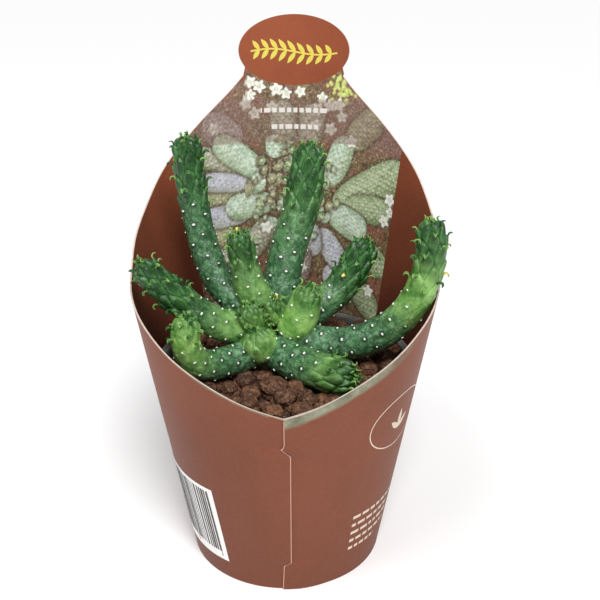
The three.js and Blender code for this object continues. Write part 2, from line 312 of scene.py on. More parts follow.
def bumpy(tree, shader, strength, depth, height):
    """Lets a pattern catch the light as fine relief, depth in millimetres."""
    bump = add(tree, "ShaderNodeBump", Strength=strength, Distance=depth * MM, Height=height)
    tree.links.new(bump.outputs["Normal"], shader.inputs["Normal"])


def card_print(name, inside):
    """Coated card in printed brown, darker inside, with painted shade deepening low down on the inside."""
    material, tree, shader = finish(name, tint(140, 88, 70), 0.42)
    place = object_place(tree)
    cloud = cloudy(tree, place, 22.0, 3.0)
    grain = cloudy(tree, place, 1400.0, 2.0)
    if inside:
        light, dark = tint(146, 76, 48), tint(76, 33, 21)
    else:
        light, dark = tint(135, 78, 58), tint(106, 60, 43)
    # Mottled, and darker towards the bottom: on the inside that is painted shade deep in the sleeve, on the
    # outside only a colour fade.
    height = add(tree, "ShaderNodeSeparateXYZ", place).outputs["Z"]
    low, high = (0.062, 0.125) if inside else (-0.02, 0.07)
    shade = calc(tree, "MULTIPLY", spread(tree, cloud, 0.15, 0.55), spread(tree, height, low, high))
    brown = mixed(tree, shade, dark, light)
    brown = mixed(tree, spread(tree, grain, 0.2, 0.9, 0.16), brown, tint(168, 116, 94))
    if not inside:
        brown = bleed(tree, brown, cloud)
    tree.links.new(brown, shader.inputs["Base Color"])
    rough = add(tree, "ShaderNodeMapRange", cloud, 0.3, 0.7, 0.42, 0.56).outputs["Result"]
    tree.links.new(rough, shader.inputs["Roughness"])
    fibre = cloudy(tree, place, 2600.0, 4.0)
    bumpy(tree, shader, 0.12, 0.04, fibre)
    shader.inputs["Specular IOR Level"].default_value = 0.12
    shader.inputs["Coat Weight"].default_value = 0.03
    shader.inputs["Coat Roughness"].default_value = 0.4
    return material


def mixed(tree, factor, first, second):
    """A colour between two others; a factor of one gives the second."""
    made = tree.nodes.new("ShaderNodeMix")
    made.data_type = "RGBA"
    for index, value in ((0, factor), (6, first), (7, second)):
        if isinstance(value, bpy.types.NodeSocket):
            tree.links.new(value, made.inputs[index])
        else:
            made.inputs[index].default_value = value
    return made.outputs[2]


def spread(tree, value, low, high, top=1.0):
    """Stretches a value so that low becomes nothing and high becomes top, held between."""
    return add(tree, "ShaderNodeMapRange", value, low, high, 0.0, top).outputs["Result"]


def calc(tree, operation, *values):
    """One step of arithmetic between shader values."""
    return add(tree, "ShaderNodeMath", *values, settings={"operation": operation}).outputs["Value"]


def read(tree, name):
    """A number that was noted on the mesh, point by point."""
    return add(tree, "ShaderNodeAttribute", settings={"attribute_name": name}).outputs["Fac"]


def bleed(tree, brown, cloud):
    """The picture's colour just shows over the folded edge, right of the seam."""
    below = read(tree, "below_rim")
    turn = read(tree, "turn")
    place = object_place(tree)
    rough = cloudy(tree, place, 150.0, 6.0, Roughness=0.7)
    ragged = calc(tree, "ADD", below, calc(tree, "MULTIPLY", cloud, 1.2))
    ragged = calc(tree, "ADD", ragged, calc(tree, "MULTIPLY_ADD", rough, 3.2, -1.6))
    band = spread(tree, ragged, 4.1, 2.7)
    right = calc(tree, "MULTIPLY", spread(tree, turn, 0.0, 0.6), spread(tree, turn, 60.0, 36.0))
    wide = calc(tree, "MULTIPLY", band, right)
    left = calc(tree, "MULTIPLY", spread(tree, ragged, 1.3, 0.9, 0.6), spread(tree, turn, 280.0, 330.0))
    both = calc(tree, "MULTIPLY", calc(tree, "MAXIMUM", wide, left), 0.85)
    grey_green = mixed(tree, spread(tree, rough, 0.4, 0.62), tint(112, 120, 98), tint(164, 170, 146))
    return mixed(tree, both, brown, grey_green)


def cut_edge():
    """The bare pulp where the card was cut, pale against the print."""
    material, tree, shader = finish("card_cut_edge", tint(206, 186, 174), 0.8)
    place = object_place(tree)
    fibre = cloudy(tree, place, 900.0, 3.0)
    colour = mixed(tree, fibre, tint(178, 150, 136), tint(226, 212, 200))
    tree.links.new(colour, shader.inputs["Base Color"])
    return material


def card_sleeve():
    """The folded card with its two faces, its cut edges and its header, as one closed skin."""
    turns, heights, lift, first, last = sheet_grid()
    rows, columns = turns.shape
    header_turns, header_heights = header_grid(last - first + 1)
    header_turns[0] = turns[-1, first:last + 1]
    sheets = []
    for side_lift in (0.0, -card_thickness):
        body = on_sleeve(turns, heights, lift * (side_lift == 0) + side_lift)
        head = on_sleeve(header_turns, header_heights, side_lift)[1:]
        sheets.append(np.vstack([body.reshape(-1, 3), head.reshape(-1, 3)]))
    points = np.vstack(sheets)
    per_side = len(sheets[0])
    wide = header_turns.shape[1]

    def face_set(start, flip):
        body = grid_faces(rows, columns, start, flip)
        neck = np.stack([np.arange(wide - 1), np.arange(1, wide)], 1) + (rows - 1) * columns + first + start
        above = np.stack([np.arange(1, wide), np.arange(wide - 1)], 1) + rows * columns + start
        join = np.hstack([neck, above])
        head = grid_faces(header_turns.shape[0] - 1, wide, rows * columns + start, flip)
        return np.vstack([body, join[:, ::-1] if flip else join, head])

    outside = face_set(0, False)
    inside = face_set(per_side, True)
    head_start = rows * columns
    head_rows = header_turns.shape[0] - 1
    right_rim = (rows - 1) * columns + np.arange(first + 1)
    head_right = head_start + np.arange(head_rows) * wide
    head_top = head_start + (head_rows - 1) * wide + np.arange(wide)
    head_left = head_start + np.arange(head_rows)[::-1] * wide + wide - 1
    left_rim = (rows - 1) * columns + np.arange(last, columns)
    upper = np.r_[right_rim, head_right, head_top[1:-1], head_left, left_rim]
    lower = np.arange(columns)[::-1]
    right_seam = np.arange(rows)[::-1] * columns
    left_seam = np.arange(rows) * columns + columns - 1
    edges = []
    for line in (upper, lower):
        edges.append(np.stack([line[:-1], line[:-1] + per_side, line[1:] + per_side, line[1:]], 1))
    seam = np.stack([right_seam[::-1][:-1], left_seam[:-1], left_seam[1:], right_seam[::-1][1:]], 1)
    edges.append(seam)
    edge_faces = np.vstack(edges)
    faces = np.vstack([outside, inside, edge_faces])
    kinds = np.r_[np.zeros(len(outside)), np.ones(len(inside)), np.full(len(edge_faces), 2)]
    piece = mesh_piece("printed_sleeve", points, faces,
                       [card_print("card_outside", False), card_print("card_inside", True), cut_edge()],
                       face_materials=kinds)
    all_turns = np.r_[turns.ravel(), header_turns[1:].ravel()]
    all_heights = np.r_[heights.ravel(), header_heights[1:].ravel()]
    in_head = np.r_[np.zeros(turns.size), np.ones(header_turns[1:].size)]
    note(piece, "turn", np.tile(all_turns, 2))
    far_below = 50
    below = np.where(in_head > 0, far_below, rim_at(all_turns) - all_heights)
    note(piece, "below_rim", np.tile(below, 2))
    weld = piece.modifiers.new("weld", "WELD")
    weld.merge_threshold = 0.02 * MM
    piece.data.set_sharp_from_angle(angle=math.radians(35))
    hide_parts("card_sleeve")


card_sleeve()


# ------------------------------------------------------------------ panel picture
# The inside of the back is printed with a picture: a bed of thick succulent fingers that
# fan out from one crown, with small white flowers above and a veil across it. It is a
# film of ink, painted point by point, and it stops at the header and at two straight edges.

picture_half_turn = 44.4
picture_foot = 58.0
picture_crown = (0.0, 103.0)
bead_step, bead_row = 2.3, 1.25
veil_low, veil_high = 118.6, 132.4

# Each finger: its inner and outer ends (across, up), its width, and its finish.
picture_fingers = (
    ((-24, 66), (-34, 60), 9, "grey"), ((-8, 66), (-12, 56), 8, "lilac"), ((10, 66), (14, 56), 9, "grey"),
    ((22, 74), (31, 64), 9, "green"), ((-20, 84), (-33, 76), 9, "grey"), ((-14, 76), (-24, 66), 9, "green"),
    ((-3, 78), (-4, 65), 8, "green"), ((12, 78), (20, 67), 9, "lilac"), ((24, 87), (35, 79), 9, "green"),
    ((-21, 90), (-34, 87), 8, "olive"), ((-14, 101), (-33, 101.5), 6.5, "olive"),
    ((-15.5, 108), (-34, 117), 7.5, "grey"), ((-18, 118), (-31, 127), 11, "mauve"),
    ((19, 118), (30, 129), 10, "olive"), ((5, 117), (7, 131), 9, "grey"), ((-3, 116), (-4, 132), 9, "grey"),
    ((-14.5, 95.5), (-33, 95), 7.5, "lilac"), ((-14.5, 105), (-33, 107.6), 6.5, "lilac"),
    ((-10, 108), (-27.5, 120.5), 9, "pale"), ((12.5, 105), (18.5, 121), 8.5, "pale"),
    ((14, 98), (42, 113.5), 12.5, "green"), ((18, 98.5), (36, 98.5), 9.5, "green"),
    ((12.5, 96.5), (26, 90), 10, "pale"), ((9, 90), (17.5, 78), 8, "lilac"),
    ((-7, 94), (-16, 81), 8.5, "grey"), ((-6.5, 99), (-23.5, 97.5), 9, "pale"),
    ((6.5, 92), (7.2, 81), 6, "lilac"), ((4, 84), (1.5, 72), 7.5, "mauve"),
    ((-6.2, 113.5), (-6.2, 121), 7, "pale"), ((-9.5, 105), (-14.6, 105.6), 7, "pale"),
)
picture_finishes = {
    "pale": ((208, 228, 214), (128, 152, 108)), "lilac": ((200, 200, 228), (152, 154, 142)),
    "green": ((174, 194, 152), (92, 108, 66)), "grey": ((184, 184, 168), (106, 100, 76)),
    "olive": ((172, 172, 134), (112, 104, 68)), "mauve": ((176, 158, 166), (120, 94, 88)),
}
picture_flowers = (
    (-14.7, 138), (-11.6, 136.6), (-14.6, 134), (-16.2, 131.2), (-6, 135.6), (-2.7, 134.2), (2.2, 134.8),
    (-13.2, 128), (-7.3, 130), (9.6, 133), (12.2, 130.6), (15.4, 131), (16.4, 127.2), (8.2, 129.4),
    (7.6, 124.2), (12.6, 123.2), (35.4, 103), (35.8, 99), (33.4, 96), (-27.5, 124), (-20, 74), (-18, 72),
    (20, 119.6), (-9, 90.5), (3, 77), (28, 72), (30, 85),
)


def pebbled(x, y, size):
    """Soft noise over the picture, with lumps of about a size."""
    places = zip(x.ravel(), y.ravel())
    return np.array([noise.noise(Vector((a / size, b / size, 3.1))) for a, b in places]).reshape(x.shape)


def eased(value, low, high):
    """Nothing at low and one at high, with a soft start and end."""
    part = np.clip((value - low) / (high - low), 0, 1)
    return part * part * (3 - 2 * part)


def laid_over(canvas, colour, share):
    """The canvas with a share of a colour painted over it."""
    return canvas + (np.asarray(colour, float) - canvas) * share[..., None]


def paint_finger(canvas, x, y, inner, outer, width, look, speckle):
    """One rounded finger, lit from the upper left, with rows of pale knobs."""
    light, dark = (np.array(colour, float) for colour in picture_finishes[look])
    start, reach = np.array(inner, float), np.array(outer, float) - inner
    length = np.hypot(*reach)
    along, side = reach / length, np.array([-reach[1], reach[0]]) / length
    forward = (x - start[0]) * along[0] + (y - start[1]) * along[1]
    sideways = (x - start[0]) * side[0] + (y - start[1]) * side[1]
    share = np.clip(forward / length, 0, 1)
    half = width / 2 * (1 - np.abs(2 * share - 1) ** 3.2) ** 0.5 * (0.84 + 0.16 * share) + 1e-3
    beyond = np.maximum(np.maximum(-forward, forward - length), 0)
    outside = np.hypot(np.maximum(np.abs(sideways) - half, 0), beyond)
    canvas = laid_over(canvas, (62, 48, 34), 0.62 * eased(outside, 1.6, 0.0))
    inside = eased(outside, 0.28, 0.0)
    bulge = np.clip(sideways / half, -1, 1)
    level = np.sqrt(1 - bulge ** 2 * 0.96)
    facing = level * 0.62 - bulge * (side[1] * 0.8 - side[0] * 0.45) * -0.34 + 0.12
    lit = np.clip(facing * 1.15 + 0.2 * speckle, 0, 1)
    colour = laid_over(np.broadcast_to(dark, canvas.shape), light, lit)
    sheen = eased(facing, 0.72, 1.0) * (0.5 + 0.5 * speckle)
    colour = laid_over(colour, (214, 224, 222), np.clip(0.55 * sheen, 0, 1))
    wrap = np.arcsin(bulge * 0.98) * width / 2
    row = np.round(wrap / bead_row)
    bead_forward = (forward / bead_step + 0.5 * (row % 2)) % 1 - 0.5
    knob = np.hypot(bead_forward * bead_step, wrap - row * bead_row)
    low_side = np.hypot(bead_forward * bead_step + 0.35 * along[1], wrap - row * bead_row + 0.35 * side[1])
    colour = laid_over(colour, dark * 0.8, 0.55 * eased(low_side, 0.75, 0.3))
    colour = laid_over(colour, (226, 230, 196), 0.85 * eased(knob, 0.62, 0.25) * level)
    return canvas + (colour - canvas) * inside[..., None]


def paint_flower(canvas, x, y, place, size, turn):
    """Five pale petals round a greenish eye."""
    across, up = x - place[0], y - place[1]
    reach, angle = np.hypot(across, up), np.arctan2(up, across)
    petal = size * (0.8 + 0.2 * np.cos(5 * (angle + turn)))
    canvas = laid_over(canvas, (84, 74, 50), 0.6 * eased(reach - petal, 0.7, 0.0))
    canvas = laid_over(canvas, (246, 246, 236), eased(reach - petal, 0.3, 0.0))
    canvas = laid_over(canvas, (196, 200, 170), 0.7 * eased(reach, 0.95, 0.5))
    return laid_over(canvas, (236, 238, 206), 0.8 * eased(reach, 0.42, 0.2))


def painted(x, y):
    """The picture's colours, 0 to 255, at places across and up the panel."""
    broad, fine, speckle = pebbled(x, y, 9.0), pebbled(x, y, 1.6), pebbled(x, y, 0.7)
    canvas = np.broadcast_to(np.array((112.0, 88.0, 60.0)), x.shape + (3,))
    canvas = laid_over(canvas, (132, 84, 66), eased(broad + 0.3 * fine, 0.0, 0.35))
    canvas = laid_over(canvas, (66, 48, 34), 0.7 * eased(fine, 0.1, 0.5))
    canvas = laid_over(canvas, (150, 140, 92), 0.6 * eased(fine, -0.15, -0.45))
    canvas = laid_over(canvas, (138, 98, 88), 0.8 * eased(y, 113, 119) * eased(np.abs(x), 14, 22))
    draw = random.Random(5)
    for inner, outer, width, look in picture_fingers:
        canvas = paint_finger(canvas, x, y, inner, outer, width, look, fine)
    for _ in range(96):
        angle, reach = draw.uniform(0, 2 * math.pi), draw.uniform(1, 15)
        bud = (picture_crown[0] + reach * math.sin(angle), picture_crown[1] + 1.1 * reach * math.cos(angle))
        size = draw.uniform(1.2, 3.0)
        tip = (bud[0] + 0.9 * size * math.sin(angle), bud[1] + 0.9 * size * math.cos(angle))
        look = draw.choice(("green", "green", "olive", "pale"))
        canvas = paint_finger(canvas, x, y, bud, tip, 1.5 * size, look, fine)
    for _ in range(60):
        place = (draw.gauss(16.5, 2.2), draw.gauss(136.5, 2.6))
        canvas = laid_over(canvas, (206, 218, 120), eased(np.hypot(x - place[0], y - place[1]), 0.8, 0.35))
    veil = eased(y, veil_low - 0.1, veil_low + 0.1) * eased(y, veil_high + 0.1, veil_high - 0.1)
    canvas = laid_over(canvas, (196, 190, 150), 0.55 * eased(speckle, 0.28, 0.42) * eased(broad, 0.2, -0.3))
    for place in picture_flowers:
        canvas = paint_flower(canvas, x, y, place, draw.uniform(1.75, 2.2), draw.uniform(0, 1.2))
    canvas = laid_over(canvas, (124, 98, 88), 0.5 * veil)
    return canvas * (1 + 0.16 * speckle[..., None] + 0.1 * fine[..., None])


def panel_picture():
    """The printed film on the inside of the back, cut to the card's outline."""
    material, tree, shader = finish("picture_ink", tint(150, 140, 110), 0.4)
    colour = add(tree, "ShaderNodeAttribute", settings={"attribute_name": "paint"}).outputs["Color"]
    place = object_place(tree)
    fine = cloudy(tree, place, 1500.0, 3.0)
    dotted = mixed(tree, spread(tree, fine, 0.5, 0.75, 0.3), colour, tint(212, 210, 186))
    dotted = mixed(tree, spread(tree, fine, 0.5, 0.25, 0.35), dotted, tint(70, 56, 42))
    tree.links.new(dotted, shader.inputs["Base Color"])
    bumpy(tree, shader, 0.1, 0.03, fine)
    shader.inputs["Coat Weight"].default_value = 0.2
    shader.inputs["Coat Roughness"].default_value = 0.35
    columns, rows = 271, 275
    turn = 180 - panel_turn + np.linspace(-picture_half_turn, picture_half_turn, columns)
    from_middle = np.radians(np.abs(turn - (180 - panel_turn))) * sleeve_radius(neck_height)
    oval = np.sqrt(np.clip(1 - (from_middle / header_half_width) ** 2, 0, 1))
    under_header = header_height - header_half_height * oval
    edge = rim_at(turn)
    neck_side = neck_height + (neck_half_width - 0.5 - from_middle) / neck_taper
    in_neck = np.minimum(under_header, neck_side)
    top = np.where(edge > neck_height - 0.3, in_neck, np.minimum(edge, under_header)) - 0.15
    share = np.linspace(0, 1, rows)[:, None]
    heights = picture_foot + share * (top - picture_foot)
    turns = np.tile(turn, (rows, 1))
    lift = -card_thickness - 0.02
    points = on_sleeve(turns, heights, lift)
    across = np.radians(180 - panel_turn - turns) * sleeve_radius(heights)
    faces = grid_faces(rows, columns, flip=True)
    piece = mesh_piece("panel_picture", points.reshape(-1, 3), faces, [material])
    shades = np.clip(painted(across, heights) / 255, 0, 1)
    linear = np.where(shades <= 0.04045, shades / 12.92, ((shades + 0.055) / 1.055) ** 2.4)
    held = piece.data.attributes.new("paint", "FLOAT_COLOR", "POINT")
    rgba = np.concatenate([linear, np.ones(linear.shape[:2] + (1,))], -1)
    held.data.foreach_set("color", rgba.astype(np.float32).ravel())


panel_picture()


# ------------------------------------------------------------------ printed marks
# Small print laid on the card as its own thin films of ink: a white box of bars at the
# left, an oval with a leaf and five broken rules at the right, a sprig on the header and
# two broken rules on the panel. None of it is lettering.

ink_height = 0.05
rule_top, rule_step, rule_half = 23.6, 3.05, 0.55
rule_from, rule_reach = 36.0, 34


def ink(name, colour, roughness=0.45):
    """Printing ink, a little worn."""
    material, tree, shader = finish(name, colour, roughness)
    place = object_place(tree)
    speck = cloudy(tree, place, 1500.0, 2.0)
    worn = mixed(tree, spread(tree, speck, 0.35, 0.75, 0.14), colour, tint(140, 96, 78))
    tree.links.new(worn, shader.inputs["Base Color"])
    return material


def strip(turn_low, turn_high, low, high, lift, columns=2, rows=1, lean=0.0):
    """A patch of ink between two angles and two heights, leaning by degrees for each mm."""
    turn = np.linspace(turn_low, turn_high, columns + 1)
    height = np.linspace(low, high, rows + 1)
    turns, heights = np.meshgrid(turn, height)
    turns = turns - lean * (heights - 20)
    return on_sleeve(turns, heights, lift).reshape(-1, 3), grid_faces(rows + 1, columns + 1)


def gathered(patches):
    """Joins lists of points and faces into one."""
    points, faces, count = [], [], 0
    for some_points, some_faces in patches:
        points.extend(some_points)
        faces.extend([[corner + count for corner in face] for face in some_faces])
        count += len(some_points)
    return points, faces


def degrees_round(arc, height):
    """The angle that an arc length takes up on the card at a height."""
    return math.degrees(arc / sleeve_radius(height))


def film(name, patches, material):
    """One piece of print from many patches."""
    points, faces = gathered(patches)
    piece = mesh_piece(name, points, faces, [material])
    return piece


def bar_box():
    """A white box of upright bars that stand for nothing."""
    right, left, low, high, lean = 325.5, 277.0, 6.9, 34.2, 0.12
    box = strip(left, right, low, high, ink_height, 30, 4, lean)
    film("bar_box", [box], ink("white_ink", tint(252, 252, 250)))
    draw = random.Random(12)
    bars, turn = [], right - 3.4
    while turn > left + 3.5:
        width = draw.choice((0.55, 0.55, 0.95, 1.35))
        bars.append(strip(turn - width, turn, low + 3.2, high - 1.4, 2 * ink_height, 1, 3, lean))
        turn -= width + draw.choice((0.5, 0.8, 1.2))
    for guard in (right - 3.4, (left + right) / 2, left + 4.2):
        bars.append(strip(guard - 0.5, guard, low + 1.4, low + 3.2, 2 * ink_height, 1, 1, lean))
    film("bars", bars, ink("black_ink", tint(38, 36, 36)))


def line_on_sleeve(places, width, lift=ink_height, inward=False):
    """A thin inked line through (turn, height) places, given in order."""
    places = np.array(places, float)
    radius = sleeve_radius(places[:, 1])
    flat = np.stack([np.radians(places[:, 0]) * radius.mean(), places[:, 1]], 1)
    along = np.gradient(flat, axis=0)
    along /= np.linalg.norm(along, axis=1)[:, None]
    side = np.stack([-along[:, 1], along[:, 0]], 1) * width / 2
    rows = []
    for shift in (side, -side):
        shifted = flat + shift
        rows.append(on_sleeve(np.degrees(shifted[:, 0] / radius.mean()), shifted[:, 1],
                              -card_thickness - lift if inward else lift))
    return np.vstack(rows), grid_faces(2, len(places), flip=not inward)


def leaf_on_sleeve(middle, length, width, lean, lift=ink_height, inward=False):
    """A pointed leaf; lean is the direction of its tip in degrees up from level."""
    turn, height = middle
    share = np.linspace(0, 1, 13)
    half = width / 2 * np.sin(np.pi * share) ** 0.8 * (1 - 0.25 * share)
    out = np.array([math.cos(math.radians(lean)), math.sin(math.radians(lean))])
    up = np.array([-out[1], out[0]])
    radius = sleeve_radius(height)
    rows = []
    for sign in (1, -1):
        flat = share[:, None] * length * out + sign * half[:, None] * up
        rows.append(on_sleeve(turn + np.degrees(flat[:, 0] / radius), height + flat[:, 1],
                              -card_thickness - lift if inward else lift))
    return np.vstack(rows), grid_faces(2, len(share), flip=not inward)


def small_print():
    """The oval with its leaf, the broken rules below it and the worn seam."""
    pale = ink("pale_ink", tint(226, 206, 186))
    marks = []
    middle_turn, middle_height, half_wide, half_high = 57.0, 54.0, 13.5, 8.8
    swing = np.linspace(0, 2 * np.pi, 73)
    marks.append(line_on_sleeve([(middle_turn + degrees_round(half_wide * math.cos(a), middle_height),
                                  middle_height + half_high * math.sin(a)) for a in swing], 0.38))
    for lean, length in ((90, 6.5), (38, 5.5), (142, 5.5)):
        marks.append(leaf_on_sleeve((middle_turn, middle_height - 3.2), length, 2.1, lean))
    for row, share in enumerate((1.0, 0.93, 1.0, 0.9, 0.62)):
        height = rule_top - rule_step * row
        turn, end = rule_from, rule_from + rule_reach * share
        draw = random.Random(row)
        while turn < end:
            word = draw.uniform(2.2, 5.6)
            last = min(turn + word, end)
            marks.append(strip(turn, last, height - rule_half, height + rule_half, ink_height, 2, 1))
            turn = last + 1.3
    film("small_print", marks, pale)
    film("rubbed_seam", [rubbed_seam()], ink("rubbed_pulp", tint(206, 158, 138), 0.7))


def rubbed_seam():
    """The ink has rubbed off along the cut edge of the seam, on whichever side lies on top."""
    heights = np.r_[np.linspace(0.3, 9.5, 8), 10.35, np.linspace(11.2, 51.7, 24), 53,
                    np.linspace(54.3, front_height - 0.4, 8)]
    radius = sleeve_radius(heights)
    seam = table(seam_line, heights)
    side = np.where((heights > 10.2) & (heights < 52.5), -1, 1)
    rows = [on_sleeve(np.degrees((seam + side * shift) / radius), heights, card_thickness + 0.03)
            for shift in (0.02, 0.26)]
    faces = grid_faces(2, len(heights)).tolist()
    return np.vstack(rows), faces


def panel_print():
    """The sprig on the header and the two broken rules over the picture."""
    middle = 180 - panel_turn

    def on_stem(x):
        return middle + degrees_round(x, header_height), header_height - 0.6 + 0.9 * math.sin(x / 5)

    sprig = [line_on_sleeve([on_stem(x) for x in np.linspace(-14.5, 14.5, 30)], 0.55, inward=True)]
    for x in np.linspace(-12.5, 11.5, 9):
        for lean in (52, -52):
            sprig.append(leaf_on_sleeve(on_stem(x), 4.6 - 0.08 * abs(x), 1.7, lean, inward=True))
    film("header_sprig", sprig, ink("yellow_ink", tint(222, 206, 84)))
    rules = []
    for height, half in ((128.9, 11.2), (123.6, 8.2)):
        x = -half
        draw = random.Random(int(height))
        while x < half:
            last = min(x + draw.uniform(1.3, 2.4), half)
            rules.append(line_on_sleeve([(middle + degrees_round(a, height), height)
                                         for a in np.linspace(x, last, 4)], 1.5, inward=True))
            x = last + 0.7
    film("panel_rules", rules, ink("white_panel_ink", tint(228, 224, 216)))


bar_box()
small_print()
panel_print()


# ------------------------------------------------------------------ nursery pot
# A thin thermoformed pot of dark recycled plastic with a rolled rim, shallow ribs and
# drain holes. Its rim is wedged against the card a little below the front of the sleeve.

pot_high = Vector(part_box("nursery_pot")[1]) / MM
pot_height = pot_high.z
pot_rim_radius = pot_high.x
pot_base_radius = 27.6
pot_wall = 0.8
pot_floor = 1.2
pot_rim_depth = 4
pot_rim_width = 1.5
lip_roll = 0.55
drain_circle_radius = 17
drain_hole_radius = 3
drain_holes = 6


def pot_plastic():
    """Dark recycled plastic, mottled, with a painted highlight in pale grey along its lip."""
    material, tree, shader = finish("pot_plastic", tint(56, 54, 52), 0.38)
    place = object_place(tree)
    cloud = cloudy(tree, place, 60.0, 4.0)
    height = add(tree, "ShaderNodeSeparateXYZ", place).outputs["Z"]
    body = mixed(tree, cloud, tint(40, 38, 37), tint(74, 70, 66))
    # Painted highlight: the top few millimetres of the pot are painted a paler, mottled grey.
    lip = spread(tree, height, (pot_height - 3.2) * MM, (pot_height - 0.6) * MM, 0.75)
    lip_highlight_grey = mixed(tree, spread(tree, cloud, 0.4, 0.62), tint(74, 72, 70), tint(150, 148, 144))
    colour = mixed(tree, lip, body, lip_highlight_grey)
    tree.links.new(colour, shader.inputs["Base Color"])
    rough = add(tree, "ShaderNodeMapRange", cloud, 0.2, 0.8, 0.3, 0.5).outputs["Result"]
    tree.links.new(rough, shader.inputs["Roughness"])
    dust = cloudy(tree, place, 1500.0, 2.0)
    bumpy(tree, shader, 0.15, 0.05, dust)
    return material


def revolve(profile, sides, ripple=None):
    """Points and faces turned round the upright axis from (radius, height) pairs."""
    angle = np.linspace(0, 2 * np.pi, sides, endpoint=False)
    radius = np.array([pair[0] for pair in profile])[:, None] * np.ones(sides)
    height = np.array([pair[1] for pair in profile])[:, None] * np.ones(sides)
    if ripple is not None:
        radius = radius + ripple(angle[None, :], height)
    points = np.stack([radius * np.cos(angle), radius * np.sin(angle), height], -1).reshape(-1, 3)
    row, side = np.mgrid[0:len(profile) - 1, 0:sides]
    here, after = (row * sides + side).ravel(), (row * sides + (side + 1) % sides).ravel()
    return points, np.stack([here, after, after + sides, here + sides], 1)


def nursery_pot():
    """The pot turned as one wall with a rolled lip, then drilled."""
    rim_bottom = pot_height - pot_rim_depth
    wall_top = pot_rim_radius - pot_rim_width

    def wall(z):
        return pot_base_radius + (wall_top - pot_base_radius) * z / pot_height

    lip = [(pot_rim_radius - lip_roll + lip_roll * math.sin(a), pot_height - lip_roll + lip_roll * math.cos(a))
           for a in np.linspace(math.pi / 2, -math.pi / 2, 9)]
    profile = [(0.05, 0), (drain_circle_radius, 0), (pot_base_radius - 1, 0), (pot_base_radius - 0.2, 0.3)]
    profile += [(wall(z), z) for z in np.linspace(1.2, rim_bottom - 0.2, 24)]
    profile += [(pot_rim_radius - 0.25, rim_bottom), (pot_rim_radius, rim_bottom + 0.3)]
    profile += lip + [(wall_top - pot_wall, pot_height - 0.3)]
    profile += [(wall(z) - pot_wall, z) for z in np.linspace(pot_height - 1.5, pot_floor + 0.8, 22)]
    profile += [(wall(pot_floor) - pot_wall - 0.8, pot_floor), (drain_circle_radius, pot_floor),
                (0.05, pot_floor)]

    def ribs(angle, height):
        along = np.clip((height - 4) / 6, 0, 1) * np.clip((rim_bottom - 3 - height) / 6, 0, 1)
        return -0.25 * along * np.clip(np.cos(24 * angle) * 3, -1, 1) ** 2

    points, faces = revolve(profile, 240, ribs)
    piece = mesh_piece("moulded_pot", points, faces, [pot_plastic()])
    drills = []
    for hole in range(drain_holes):
        angle = 2 * math.pi * hole / drain_holes
        centre = (drain_circle_radius * math.cos(angle) * MM, drain_circle_radius * math.sin(angle) * MM, 0)
        bpy.ops.mesh.primitive_cylinder_add(vertices=40, radius=drain_hole_radius * MM, depth=6 * MM,
                                            location=centre)
        drills.append(bpy.context.active_object)
    for drill in drills:
        cut = piece.modifiers.new("drain", "BOOLEAN")
        cut.object = drill
        cut.operation = "DIFFERENCE"
    settle(piece)
    for drill in drills:
        bpy.data.objects.remove(drill)
    piece.data.set_sharp_from_angle(angle=math.radians(40))
    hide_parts("nursery_pot")


def settle(piece):
    """Turns a piece's modifiers into plain mesh."""
    graph = bpy.context.evaluated_depsgraph_get()
    finished = bpy.data.meshes.new_from_object(piece.evaluated_get(graph))
    piece.modifiers.clear()
    piece.data = finished


nursery_pot()


# ------------------------------------------------------------------ plant shape
# The plant is twelve fleshy branches and buds that leave one thick stem. Their routes are
# set out here because the stones lie clear of them, and each starts inside the stem.

caudex_low, caudex_high = (Vector(corner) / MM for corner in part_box("caudex"))
caudex_rise = 11
crown = np.array([(caudex_low.x + caudex_high.x) / 2, (caudex_low.y + caudex_high.y) / 2,
                  caudex_high.z - caudex_rise])

